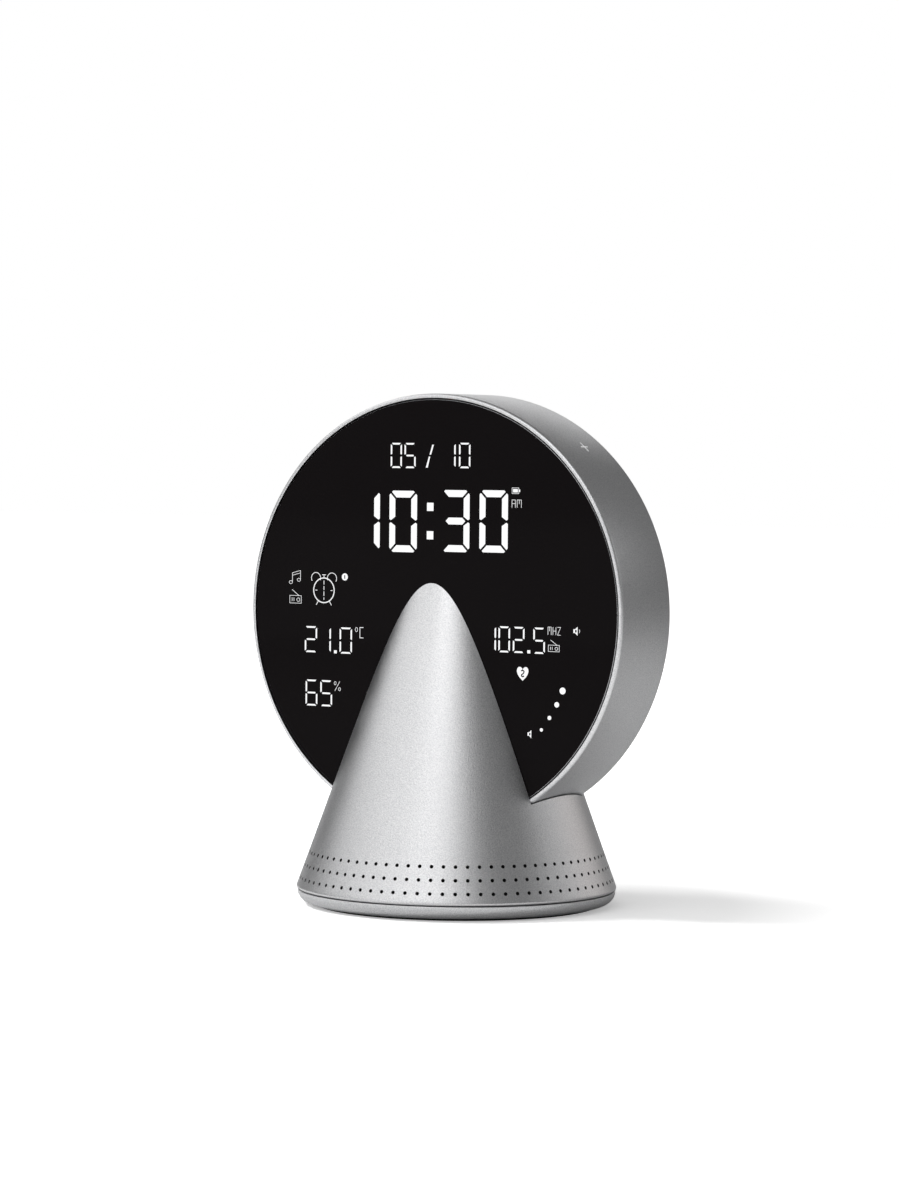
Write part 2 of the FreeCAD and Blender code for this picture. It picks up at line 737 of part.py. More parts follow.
# Base
def cone_slope():
    return size("foot_radius") / (size("apex_height") - size("seam_height"))


def cone_radius(z):
    return size("foot_radius") - cone_slope() * (z - size("seam_height"))


def ring_points(radius, z, sides):
    """Corners of a regular ring whose flats, not corners, face the front."""
    angles = [math.tau * (i + 0.5) / sides - math.pi / 2 for i in range(sides)]
    return [FreeCAD.Vector(radius * math.cos(angle), radius * math.sin(angle), z) for angle in angles]


def faceted(name, levels, sides):
    """A solid of flat facets through regular rings, each level given as (radius, height)."""
    rings = [ring_points(radius, z, sides) for radius, z in levels]
    faces = []
    for low, high in zip(rings, rings[1:]):
        for i in range(sides):
            j = (i + 1) % sides
            faces.append(Part.Face(Part.makePolygon([low[i], low[j], high[j], high[i], low[i]])))
    for ring in (rings[0], rings[-1]):
        faces.append(Part.Face(Part.makePolygon(ring + [ring[0]])))
    item = doc.addObject("Part::Feature", name)
    item.Shape = Part.Solid(Part.Shell(faces))
    return item


def make_sound_holes():
    """One punch per hole, square to the cone's side, in aligned columns. Each is cornered, to keep the faces
    few, and as large as a round hole of hole_radius."""
    tilt = math.degrees(math.atan(cone_slope()))
    reach = size("cone_wall") + 2 * size("cut_overrun")
    corner = size("hole_radius") * math.sqrt(math.tau / HOLE_SIDES / math.sin(math.tau / HOLE_SIDES))
    punches = []
    for row in range(ROWS):
        z = size("first_row") + row * size("row_pitch")
        corners = [FreeCAD.Vector(0, corner * math.cos(math.tau * i / HOLE_SIDES),
                                  corner * math.sin(math.tau * i / HOLE_SIDES)) for i in range(HOLE_SIDES)]
        punch = Part.Face(Part.makePolygon(corners + [corners[0]])).extrude(FreeCAD.Vector(-reach, 0, 0))
        punch.translate(FreeCAD.Vector(size("cut_overrun"), 0, 0))
        punch.rotate(FreeCAD.Vector(), FreeCAD.Vector(0, 1, 0), -tilt)
        punch.translate(FreeCAD.Vector(cone_radius(z), 0, z))
        for column in range(COLUMNS):
            copy = punch.copy()
            copy.rotate(FreeCAD.Vector(), FreeCAD.Vector(0, 0, 1), 360 * column / COLUMNS - 90)
            punches.append(copy)
    item = doc.addObject("Part::Feature", "sound_holes")
    item.Shape = Part.makeCompound(punches)
    return item


def stand_in_slot(tool, grow):
    """Turns a disc that lies flat at z = 0 into the slot's place, its front face moved forward by grow."""
    place(tool, "0", f"-head_front - slot_side_gap - {grow}", HEAD_HEIGHT)
    return turn(tool, (1, 0, 0), -90)


def head_slot():
    """The space that the head needs in the cone."""
    return stand_in_slot(rod("head_slot", "head_radius + slot_gap", "head_depth + 2 * slot_side_gap"), "0")


def saddle_wall():
    """The same space grown by a wall on every side, many-sided where only the cone's inside shows it."""
    wall = prism("saddle_wall", FRAME_SIDES, SADDLE, "head_depth + 2 * (slot_side_gap + cone_wall)")
    return stand_in_slot(wall, "cone_wall")


def boss_place(angle):
    return f"{BOSS_CIRCLE} * cos({angle} deg)", f"{BOSS_CIRCLE} * sin({angle} deg)"


def make_cone_shell():
    """A hollow cone with one flat per column of holes, 0.04 mm from round, slotted for the head."""
    seam = size("seam_height")
    crop_height = seam + (size("foot_radius") - size("cone_crop")) / cone_slope()
    bevel_top = seam + size("foot_bevel_height")
    skin = size("cone_wall") * math.hypot(1, cone_slope())
    outer = faceted("cone_outer", [
        (size("foot_radius") - size("foot_bevel_width"), seam),
        (cone_radius(bevel_top), bevel_top),
        (size("cone_crop"), crop_height),
    ], COLUMNS)
    inner = faceted("cone_inner", [
        (size("foot_radius") - skin, seam),
        (size("cone_crop") - skin, crop_height),
    ], COLUMNS)
    hollow = cut("cone_hollow", inner, [saddle_wall()])
    bosses = []
    pilots = []
    for angle in POST_ANGLES:
        x, y = boss_place(angle)
        bosses.append(prism("boss", SCREW_SIDES, "boss_radius", "boss_height", x, y, FLOOR_TOP))
        pilots.append(prism("boss_pilot", SCREW_SIDES, "base_screw_shank + pilot_gap", "base_screw_length",
                            x, y, f"{FLOOR_TOP} - cut_overrun"))
    shell = cut("cone_walls", outer, [hollow])
    solid = fuse("cone_solid", [shell] + bosses)
    tools = [head_slot(), make_sound_holes()] + pilots
    for angle in NECK_ANGLES:
        bore = neck_bore("saddle_bore", "neck_screw_shank + screw_gap", angle)
        tools.append(in_head(group("saddle_bore_set", [bore])))
    tools.append(in_head(group("saddle_lead_set", [lead_bore("saddle_lead_bore")])))
    tool = doc.addObject("Part::Compound", "cone_cuts")
    tool.Links = tools
    node("cone_shell", cut("cone_shell", solid, [tool]))


def make_liner():
    """The dark mesh band behind the sound holes."""
    skin = size("cone_wall") * math.hypot(1, cone_slope()) + size("liner_gap")
    low = size("liner_low")
    high = size("liner_high")
    outer = faceted("liner_outer", [(cone_radius(low) - skin, low), (cone_radius(high) - skin, high)],
                    LINER_SIDES)
    wall = skin + size("liner_thickness")
    inner = faceted("liner_inner", [(cone_radius(low) - wall, low), (cone_radius(high) - wall, high)],
                    LINER_SIDES)
    node("grille_liner", cut("grille_liner", outer, [inner]))


def base_screw(angle, gap=None):
    x, y = boss_place(angle)
    return screw("base_screw", x, y, "pad_thickness", gap)


def make_tray():
    """The base ring and floor in one, curving in to the foot in steps, with as many flats as the cone."""
    radius = size("foot_radius") - size("tray_inset")
    low = size("pad_thickness")
    bend = size("tray_round")
    curve = []
    for angle in TRAY_CURVE:
        across = bend * (1 - math.sin(math.radians(angle)))
        curve.append((radius - across, low + bend * (1 - math.cos(math.radians(angle)))))
    body = faceted("tray", curve + [(radius, size("seam_height") - size("tray_seam"))], COLUMNS)
    room = prism("tray_room", COLUMNS, f"{TRAY_RADIUS} - tray_wall", "seam_height", z=FLOOR_TOP)
    tools = [turn(room, (0, 0, 1), 180 / COLUMNS)] + [base_screw(angle, "screw_gap") for angle in POST_ANGLES]
    node("base_tray", cut("base_tray", body, tools))
    node("base_screws", group("base_screws", [base_screw(angle) for angle in POST_ANGLES]))
    node("foot_pad", rod("foot_pad", PAD_RADIUS, "pad_thickness"))


def box_boss_place(angle):
    return f"{BOX_BOSS_CIRCLE} * cos({angle} deg)", f"{BOX_BOSS_CIRCLE} * sin({angle} deg)"


def make_speaker_box():
    """A cup over the driver, on four legs that stand on the tray's floor."""
    cup = prism("box_cup", BOX_SIDES, BOX_RADIUS, "box_high - box_low", z="box_low")
    room = prism("box_room", BOX_SIDES, f"{BOX_RADIUS} - box_wall",
                 "box_high - box_low - box_wall + cut_overrun", z="box_low - cut_overrun")
    solids = [cut("box_walls", cup, [room])]
    pilots = []
    for i, angle in enumerate(POST_ANGLES):
        x, y = box_boss_place(angle)
        solids.append(block("box_boss", "box_boss", "box_boss", "box_high - box_low", x, y, "box_low"))
        pilots.append(prism("box_pilot", SCREW_SIDES, "speaker_screw_shank + pilot_gap",
                            "speaker_screw_length", x, y, "box_low - cut_overrun"))
        leg = block("box_leg", "leg_thickness + box_wall", "leg_width", "leg_height",
                    f"{BOX_RADIUS} + (leg_thickness - box_wall) / 2", "0", FLOOR_TOP)
        solids.append(turn(group("box_leg_set", [leg]), (0, 0, 1), 90 * i))
    below = prism("box_flange_room", BOX_SIDES, f"{BOX_RADIUS} + flange_gap", "box_low", z="0")
    node("speaker_box", cut("speaker_box", fuse("box_solid", solids), [below] + pilots))
    foam = block("foam", "foam_width", "foam_depth", "foam_thickness", z="box_high + foam_gap")
    node("foam_pad", group("foam_set", [foam]))


def speaker_screw(angle, gap=None):
    x, y = box_boss_place(angle)
    return screw("speaker_screw", x, y, "box_low - speaker_flange - speaker_screw_head_height", gap)


def make_speaker():
    """A driver that faces down: flange, four struts, back plate, magnet and a moving diaphragm."""
    low = "(box_low - speaker_flange)"
    flange = prism("flange", BOX_SIDES, BOX_RADIUS, "speaker_flange", z=low)
    mouth = prism("mouth", DRIVER_SIDES, MOUTH, "speaker_flange + 2 * cut_overrun",
                  z=f"{low} - cut_overrun")
    top = "(box_low + basket_height)"
    tools = [turn(mouth, (0, 0, 1), 180 / DRIVER_SIDES)]
    tools += [speaker_screw(angle, "screw_gap") for angle in POST_ANGLES]
    solids = [cut("flange_ring", flange, tools)]
    solids.append(prism("basket_plate", BOX_SIDES, "basket_top_radius", "basket_plate", z=top))
    for i in range(len(POST_ANGLES)):
        strut = outline(f"strut_{i}", [
            (f"{MOUTH} + strut_thickness", "0"),
            (f"{MOUTH} + 2 * strut_thickness", "0"),
            ("basket_top_radius", "basket_height"),
            ("basket_top_radius - strut_thickness", "basket_height"),
        ], "strut_width", z="box_low")
        solids.append(turn(strut, (0, 0, 1), 90 * i))
    node("speaker_frame", fuse("speaker_frame", solids))
    node("speaker_magnet", prism("speaker_magnet", DRIVER_SIDES, "magnet_radius", "magnet_height",
                                 z=f"{top} + basket_plate"))
    rise = size("pad_thickness") + size("tray_floor") + size("boss_height")
    mouth = cone_radius(rise) - size("boss_margin") - size("box_margin") - size("mouth_margin")
    edge = mouth - size("cone_edge_gap")
    rest = size("box_low") - size("speaker_flange") / 2
    crown = rest + size("cone_rise")
    cap = size("dust_cap_radius")
    wall = size("cone_thickness")
    outside = faceted("diaphragm_outside", [(edge, rest), (edge, rest + wall), (cap, crown + wall)],
                      DRIVER_SIDES)
    inside = faceted("diaphragm_inside", [(edge - size("cone_lip"), rest), (cap, crown)], DRIVER_SIDES)
    node("speaker_diaphragm", cut("speaker_diaphragm", outside, [inside]))
    screws = [speaker_screw(angle) for angle in POST_ANGLES]
    node("speaker_screws", group("speaker_screws", screws))


def make_all():
    for make in (
        make_rim, make_glass, make_diffuser, make_display_frame, make_display_board, make_battery,
        make_rear_cover, make_cover_screws, make_keys, make_power_switch, make_sockets, make_main_board,
        make_ribbon, make_strips, make_neck_screws, make_lead, make_cone_shell, make_liner, make_tray,
        make_speaker_box, make_speaker,
    ):
        make()
    doc.recompute()


def check_all():
    for item in doc.Objects:
        if "Invalid" in item.State or "Error" in item.State:
            sys.exit(f"{item.Name} has state {item.State}")
    for name, item in NODES.items():
        if item.Shape.isNull() or not item.Shape.isValid() or not item.Shape.Solids:
            sys.exit(f"{name} has no valid solid")


def export_all():
    os.makedirs("parts", exist_ok=True)
    for name, item in NODES.items():
        item.Shape.exportStep(f"parts/{name}.step")
        print(f"{name}: {len(item.Shape.Solids)} solids, {item.Shape.Volume:.1f} mm3")


make_all()
check_all()
export_all()
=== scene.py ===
import bmesh
import bpy
import json
import math
from mathutils import Matrix, Vector


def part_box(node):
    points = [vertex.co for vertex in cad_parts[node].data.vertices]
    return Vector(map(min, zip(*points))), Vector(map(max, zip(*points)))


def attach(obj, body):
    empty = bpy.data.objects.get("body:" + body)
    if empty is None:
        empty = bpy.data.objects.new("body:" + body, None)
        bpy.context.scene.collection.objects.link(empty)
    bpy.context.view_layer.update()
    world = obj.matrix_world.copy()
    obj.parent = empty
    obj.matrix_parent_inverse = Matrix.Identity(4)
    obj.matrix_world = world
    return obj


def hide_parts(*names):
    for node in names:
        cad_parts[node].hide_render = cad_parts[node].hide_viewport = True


# The looks of a bedside talking clock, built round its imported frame.
# Lengths are in millimetres here and become metres where a mesh, material, lamp or camera is made.
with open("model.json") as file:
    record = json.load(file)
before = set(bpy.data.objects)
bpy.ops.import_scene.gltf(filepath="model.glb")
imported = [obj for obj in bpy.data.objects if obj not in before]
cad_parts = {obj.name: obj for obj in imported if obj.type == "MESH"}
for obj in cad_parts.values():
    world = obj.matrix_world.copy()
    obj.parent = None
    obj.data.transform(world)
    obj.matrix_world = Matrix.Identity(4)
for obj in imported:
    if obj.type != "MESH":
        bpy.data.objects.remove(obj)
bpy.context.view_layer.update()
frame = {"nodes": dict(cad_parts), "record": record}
MM = 0.001
HOUSING = "housing"


def node_box(node):
    low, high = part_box(node)
    return low / MM, high / MM


# Places read from the frame
RIM_LOW, RIM_HIGH = node_box("head_rim")
GLASS_LOW, GLASS_HIGH = node_box("front_glass")
TRAY_LOW, TRAY_HIGH = node_box("base_tray")
COVER_BACK = node_box("rear_cover")[1].y
SCREW_TIP = node_box("rear_cover_screws")[0].y
HEAD_RADIUS = (RIM_HIGH.x - RIM_LOW.x) / 2
HEAD_HEIGHT = (RIM_HIGH.z + RIM_LOW.z) / 2
LIP = RIM_LOW.y
RIM_BACK = RIM_HIGH.y
GLASS_RADIUS = (GLASS_HIGH.x - GLASS_LOW.x) / 2
GLASS_FRONT = GLASS_LOW.y
GLASS_BACK = GLASS_HIGH.y

# Working values of the mesh functions
MERGE_DISTANCE = 0.0005
SHARP_DEGREES = 30
RIGHT_ANGLE = 90
FULL_TURN = 360
QUARTERS = 4
SECOND_MATERIAL = 1
CORNER_HALVINGS = 40
SMALLEST_COSINE = 1e-6
ANGLE_NUDGE = 1e-4

# Rim
RIM_WALL = 1.5
RIM_ROUNDING = 1.15
RIM_BACK_ROUNDING = 0.5
RIM_SEGMENTS = 288
RIM_LIP_STEPS = 8
RIM_BACK_STEPS = 4
GLASS_CHAMFER = 0.2

# Cone
SEAM = 5.8
FOOT_RADIUS = 57.65
CONE_SLOPE = 0.3583
CONE_WALL = 2.2
CONE_ROUNDING = 0.8
CONE_ROUNDING_STEPS = 8
SLOT_GAP = 0.35
SLOT_SIDE_GAP = 0.15
SLOT_FRONT = LIP - SLOT_SIDE_GAP
SLOT_BACK = RIM_BACK + SLOT_SIDE_GAP
SLOT_RADIUS = HEAD_RADIUS + SLOT_GAP
COLUMNS = 80
ROWS = 3
FIRST_ROW = 9.85
ROW_PITCH = 4.545
BAND_LOW = FIRST_ROW - ROW_PITCH / 2
BAND_HIGH = BAND_LOW + ROW_PITCH * ROWS
HOLE_RADIUS = 0.66
HOLE_LIP = 0.06
CELL_STEPS = 4
SIDE_ROWS = 40
SADDLE_STEPS = 32

# Base tray
TRAY_RADIUS = 57.0
TRAY_ROUND = 4.4
TRAY_ROUND_STEPS = 12
TRAY_TOP_ROUND = 0.3
TRAY_TOP_ROUND_STEPS = 4
TRAY_WALL = 2.6
TRAY_WALL_SHOWN = 1.0

# Marks on the face: how far they stand out, their lines and their shapes
MARK_PROUD = 0.05
INK_PROUD = 0.08
LINE = 0.22
FINE_LINE = 0.15
BODY_LINE = 0.38
INK_LINE = 0.42
MITRE_LIMIT = 0.5
DISC_SIDES = 32
NICK_SHARE = 0.4
TIP_SHARE = 0.25
PARTING_SHARE = 0.7
# Segments lit for each figure, named clockwise from the top with g in the middle
FIGURES = {
    "0": "abcdef",
    "1": "bc",
    "2": "abged",
    "3": "abgcd",
    "5": "afgcd",
    "6": "afgedc",
}
# Kinds of figure: width, height, stroke and gap
TIME_FIGURE = (11.6, 21.8, 2.42, 0.55)
DATE_FIGURE = (4.7, 8.9, 0.6, 0.42)
HEAT_FIGURE = (5.3, 9.4, 0.6, 0.42)
DAMP_FIGURE = (5.1, 9.4, 0.6, 0.42)
RADIO_FIGURE = (4.7, 9.1, 0.6, 0.42)
# Figures of the read-outs: text, left, low and kind of each
READ_OUTS = [
    ("1", -33.85, 21.3, TIME_FIGURE),
    ("0", -18.15, 21.2, TIME_FIGURE),
    ("3", 3.75, 21.7, TIME_FIGURE),
    ("0", 19.5, 21.85, TIME_FIGURE),
    ("0", -17.8, 51.05, DATE_FIGURE),
    ("5", -12.0, 51.05, DATE_FIGURE),
    ("1", 4.7, 51.25, DATE_FIGURE),
    ("0", 10.8, 51.25, DATE_FIGURE),
    ("2", -54.2, -15.8, HEAT_FIGURE),
    ("1", -48.2, -15.8, HEAT_FIGURE),
    ("0", -39.1, -15.8, HEAT_FIGURE),
    ("6", -53.7, -35.1, DAMP_FIGURE),
    ("5", -47.3, -35.1, DAMP_FIGURE),
    ("1", 22.0, -12.95, RADIO_FIGURE),
    ("0", 27.7, -12.95, RADIO_FIGURE),
    ("2", 33.6, -12.95, RADIO_FIGURE),
    ("5", 41.9, -12.95, RADIO_FIGURE),
]
# Square points: across, up, width and height
POINTS = [
    (-1.0, 37.45, 2.7, 2.9),
    (-1.0, 27.4, 2.7, 2.9),
    (-40.9, -15.3, 1.2, 1.1),
    (40.1, -12.4, 1.2, 1.1),
]
# The two halves of the date's slash
SLASHES = [
    [(-3.0, 51.3), (-2.2, 51.3), (-1.2, 55.2), (-1.75, 55.2)],
    [(-1.45, 55.9), (-0.85, 55.9), (0.3, 59.4), (-0.35, 59.4)],
]
# Round dots: across, up and radius. Four for the volume, and the small disc beside the alarm mark
DOTS = [
    (53.9, -25.5, 1.2),
    (51.6, -30.4, 0.95),
    (48.7, -35.1, 0.75),
    (45.5, -39.4, 0.62),
    (-37.05, 11.75, 1.28),
]
# Battery mark: outline, cell and pole, each with across, up, width and height
BATTERY_OUTLINE = (34.1, 43.6, 2.7, 2.0)
BATTERY_BLOCKS = [
    (34.1, 43.6, 1.9, 1.2),
    (35.8, 43.6, 0.4, 0.9),
]
# Thin lines of the letters AM, MHZ and the percent mark's bar
LETTER_LINES = [
    [(32.75, 37.7), (32.75, 40.4), (34.1, 40.4), (34.1, 37.7)],
    [(32.75, 39.1), (34.1, 39.1)],
    [(34.85, 37.7), (34.85, 40.4), (36.55, 40.4), (36.55, 37.7)],
    [(35.7, 40.4), (35.7, 39.0)],
    [(47.8, -6.2), (47.8, -3.5), (49.1, -3.5), (49.1, -6.2)],
    [(48.45, -3.5), (48.45, -4.9)],
    [(49.8, -6.2), (49.8, -3.5)],
    [(51.0, -6.2), (51.0, -3.5)],
    [(49.8, -4.85), (51.0, -4.85)],
    [(51.6, -3.5), (52.85, -3.5), (51.65, -6.2), (52.9, -6.2)],
    [(-41.0, -29.3), (-38.9, -25.9)],
]
# Rings of the degree and percent marks: across, up, radius, line and tallness
LETTER_RINGS = [
    (-31.9, -7.0, 0.5, FINE_LINE, 1.5),
    (-40.9, -26.6, 0.42, FINE_LINE, 1.4),
    (-39.0, -28.7, 0.42, FINE_LINE, 1.4),
]
CELSIUS_LINE = [(-28.9, -6.2), (-30.4, -6.2), (-30.4, -9.9), (-28.9, -9.9)]
# Music mark: stems with their beam, the second beam, and the heads
NOTE_LINES = [
    [(-59.8, 9.4), (-59.8, 12.7), (-56.3, 13.6), (-56.3, 10.3)],
    [(-59.8, 11.8), (-56.3, 12.7)],
]
NOTE_HEADS = [
    (-60.5, 9.3, 0.7, FINE_LINE, 0.8),
    (-57.0, 10.2, 0.7, FINE_LINE, 0.8),
]
# Radio marks: across, up, width and height of each, and what they are made of as shares of the case
RADIO_LEFT = (-58.4, 4.2, 5.0, 4.9)
RADIO_RIGHT = (50.2, -10.0, 4.4, 4.0)
RADIO_CASE_SHARE = 0.56
RADIO_AERIAL_SHARE = 0.3
RADIO_DIAL_SHARES = (0.24, -0.04, 0.24)
RADIO_GRILLE_SHARES = (-0.3, -0.14)
RADIO_GRILLE_SPAN_SHARES = (-0.24, 0.24)
# Alarm mark: its centre and body, then its bells and lines, given from the centre
ALARM_CENTRE = (-46.05, 6.7)
ALARM_RADIUS = 4.45
# A bell: across, up, radius and tallness, the angles where it starts and ends, and its number of points
ALARM_BELL = (3.45, 4.35, 2.0, 1.0, -32, 200, 16)
ALARM_SIDE_LINES = [
    [(2.4, -3.9), (3.3, -5.3)],
    [(3.7, 0.0), (2.9, 0.0)],
]
ALARM_MIDDLE_LINES = [
    [(-0.8, 5.6), (0.8, 5.6)],
    [(0.0, 5.6), (0.0, 4.6)],
    [(0.0, -3.4), (0.0, -2.6)],
    [(0.0, -2.0), (0.0, -0.4)],
    [(0.0, 0.1), (0.0, 1.5)],
    [(0.0, 2.1), (0.0, 3.5)],
]
# Small speaker marks: across, up and scale, then the shape at scale one and its dark centre
SPEAKER_MARKS = [
    (59.3, -4.6, 1.0),
    (41.1, -41.1, 0.9),
]
SPEAKER_WAVE_PLACE = SPEAKER_MARKS[0]
SPEAKER_SHAPE = [(-1.3, -0.65), (-0.6, -0.65), (0.35, -1.55), (0.35, 1.55), (-0.6, 0.65), (-1.3, 0.65)]
SPEAKER_WAVE = [(1.0, -0.6), (1.25, 0.0), (1.0, 0.6)]
SPEAKER_INK = [(-0.6, -0.45), (0.0, -0.45), (0.0, 0.45), (-0.6, 0.45)]
# Heart: its centre, half its outline, and the dark figure in it
HEART_CENTRE = (37.7, -20.1)
HEART_HALF = [
    (0, -2.5), (1.3, -1.3), (2.05, -0.2), (2.35, 0.8), (2.2, 1.7),
    (1.6, 2.3), (0.9, 2.3), (0.3, 1.9), (0, 1.4),
]
HEART_CURL = [
    (-0.6, 0.9), (0, 1.25), (0.6, 0.8), (0.45, 0.2),
    (-0.5, -0.5), (-0.4, -0.9), (0.1, -1.1), (0.6, -0.8),
]
DISC_INK = [(-37.05, 11.1), (-37.05, 12.4)]

# Rear cover screws: each stands this far across and up or down from the head's axis
COVER_SCREW_ACROSS = 50.558
COVER_SCREW_HEAD = 1.98
COVER_SCREW_HEAD_HEIGHT = 1.2
COVER_SCREW_EDGE = 0.35
COVER_SCREW_EDGE_STEPS = 4
COVER_SCREW_SHANK = 0.9
COVER_SCREW_DRIVE = 1.2
COVER_SCREW_DRIVE_WIDTH = 0.42
COVER_SCREW_DRIVE_DEPTH = 0.7

# Touch mark on the rim
PLUS_ANGLE = math.radians(40.3)
PLUS_BACK = 20.1
PLUS_ARM = 4.6
PLUS_STROKE = 0.5
PLUS_PROUD = 0.03
PLUS_STEPS = 4

# Camera, found by fitting the rim, glass, cone and holes to the photograph
CAMERA_FOCAL_PIXELS = 3785.6
CAMERA_DISTANCE = 1355.2
CAMERA_YAW = math.radians(32.066)
CAMERA_PITCH = math.radians(2.305)
CAMERA_ROLL = math.radians(0.480)
CAMERA_ACROSS = -3.207
CAMERA_UP = 18.965
CAMERA_REACH = 100000.0
PHOTO_HEIGHT_PIXELS = 1200
SENSOR_HEIGHT = 36.0
# The point above the floor that the camera and the lamps are placed from
AIM = Vector((0, 0, 90.0))


# Meshes
def add_object(name, data):
    thing = bpy.data.objects.new(name, data)
    bpy.context.scene.collection.objects.link(thing)
    return thing


def mesh_object(name, work):
    """Makes an object of a bmesh, which is then freed."""
    mesh = bpy.data.meshes.new(name)
    work.to_mesh(mesh)
    work.free()
    return add_object(name, mesh)


def mesh_piece(name, build, material):
    """Makes a piece of the housing from a function that fills a bmesh in millimetres."""
    work = bmesh.new()
    build(work)
    bmesh.ops.remove_doubles(work, verts=work.verts, dist=MERGE_DISTANCE)
    bmesh.ops.recalc_face_normals(work, faces=work.faces)
    for face in work.faces:
        face.smooth = True
    for edge in work.edges:
        if len(edge.link_faces) == 2 and edge.calc_face_angle(0) > math.radians(SHARP_DEGREES):
            edge.smooth = False
    work.transform(Matrix.Scale(MM, 4))
    piece = mesh_object(name, work)
    piece.data.materials.append(material)
    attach(piece, HOUSING)
    return piece


def join_rows(work, low, high, closed=True):
    """Quads between two rows of vertices, each row closed into a ring or not."""
    count = len(low)
    for i in range(count if closed else count - 1):
        j = (i + 1) % count
        work.faces.new((low[i], low[j], high[j], high[i]))


def grid_faces(work, rows, closed=True):
    """Quads between rows of points, one row after the other."""
    rings = [[work.verts.new(point) for point in row] for row in rows]
    for low, high in zip(rings, rings[1:]):
        join_rows(work, low, high, closed)
    return rings


def arc_points(centre, radius, start, end, steps):
    """Points of a profile's arc, its angles in degrees."""
    points = []
    for i in range(steps + 1):
        angle = math.radians(start + (end - start) * i / steps)
        points.append((centre[0] + radius * math.cos(angle), centre[1] + radius * math.sin(angle)))
    return points


def turned_rows(profile, segments, place):
    """Rings of a profile of (radius, level), each placed by a function of radius, angle and level."""
    turns = [math.tau * i / segments for i in range(segments)]
    return [[place(radius, turn, level) for turn in turns] for radius, level in profile]


def all_quarters(quarter):
    """A whole outline, made by turning its first quarter about the centre."""
    points = []
    for _ in range(QUARTERS):
        points += quarter
        quarter = [(-up, across) for across, up in quarter]
    return points


def about_head(radius, angle, level):
    """A point at a radius about the head's axis; the level is how far it lies behind the lip."""
    return Vector((radius * math.sin(angle), LIP + level, HEAD_HEIGHT + radius * math.cos(angle)))


def about_base(radius, angle, level):
    """A point at a radius about the upright axis, at an angle from the front."""
    return Vector((radius * math.sin(angle), -radius * math.cos(angle), level))


def on_face(across, up, proud):
    """A point in front of the glass, measured from the head's axis."""
    return Vector((across, GLASS_FRONT - proud, HEAD_HEIGHT + up))


# Head
def build_rim(work):
    depth = RIM_BACK - LIP
    bore = HEAD_RADIUS - RIM_WALL
    front_centre = (HEAD_RADIUS - RIM_ROUNDING, RIM_ROUNDING)
    front = arc_points(front_centre, RIM_ROUNDING, -RIGHT_ANGLE, 0, RIM_LIP_STEPS)
    back_centre = (HEAD_RADIUS - RIM_BACK_ROUNDING, depth - RIM_BACK_ROUNDING)
    back = arc_points(back_centre, RIM_BACK_ROUNDING, 0, RIGHT_ANGLE, RIM_BACK_STEPS)
    profile = [(bore, 0.0)] + front + back + [(bore, depth)]
    rings = grid_faces(work, turned_rows(profile, RIM_SEGMENTS, about_head))
    join_rows(work, rings[-1], rings[0])


def build_glass(work):
    front = GLASS_FRONT - LIP
    back = GLASS_BACK - LIP
    profile = [
        (GLASS_RADIUS - GLASS_CHAMFER, front),
        (GLASS_RADIUS, front + GLASS_CHAMFER),
        (GLASS_RADIUS, back),
    ]
    rings = grid_faces(work, turned_rows(profile, RIM_SEGMENTS, about_head))
    work.faces.ensure_lookup_table()
    for face in work.faces[:RIM_SEGMENTS]:
        face.material_index = SECOND_MATERIAL
    work.faces.new(rings[0])
    work.faces.new(rings[-1])


# Cone
def cone_radius(height):
    return FOOT_RADIUS - CONE_SLOPE * (height - SEAM)


def on_cone(angle, height):
    return about_base(cone_radius(height), angle, height)


def slot_height(angle):
    """The height at which the cone's side meets the slot at an angle, and whether a flat is met there."""
    across = math.sin(angle)
    face = -SLOT_FRONT if math.cos(angle) > 0 else SLOT_BACK
    flat = SEAM + (FOOT_RADIUS - face / max(abs(math.cos(angle)), SMALLEST_COSINE)) / CONE_SLOPE
    reach = FOOT_RADIUS + CONE_SLOPE * SEAM
    square = 1 + (CONE_SLOPE * across) ** 2
    half = reach * CONE_SLOPE * across ** 2 + HEAD_HEIGHT
    rest = (reach * across) ** 2 + HEAD_HEIGHT ** 2 - SLOT_RADIUS ** 2
    floor = (half - math.sqrt(half ** 2 - square * rest)) / square
    return max(flat, floor), flat > floor


def corner_angle(start, end):
    """The angle between two others at which the slot's flat gives way to its floor."""
    first = slot_height(start)[1]
    for _ in range(CORNER_HALVINGS):
        middle = (start + end) / 2
        if slot_height(middle)[1] == first:
            start = middle
        else:
            end = middle
    return (start + end) / 2


def column_tops():
    """The top angle of each column of the cone's mesh: even, with one column on each corner of the slot."""
    count = COLUMNS * CELL_STEPS
    angles = [math.tau * i / count for i in range(count)]
    corners = [corner_angle(0, math.pi / 2), corner_angle(math.pi, math.pi / 2)]
    corners += [math.tau - angle for angle in corners]
    for corner in corners:
        nearest = min(range(count), key=lambda i: abs(angles[i] - corner))
        angles[nearest] = corner
    return angles


def band_point(column, row, across, up):
    """A point of a hole's cell, by shares of half its width and height."""
    angle = math.tau * (column + across / 2) / COLUMNS
    return on_cone(angle, FIRST_ROW + ROW_PITCH * (row + up / 2))


def cell_outline():
    """The points round a cell's edge as shares, starting from the middle of its right side."""
    half = CELL_STEPS // 2
    right = [(1, i / half) for i in range(half)]
    return all_quarters(right + [(1 - i / half, 1) for i in range(half)])


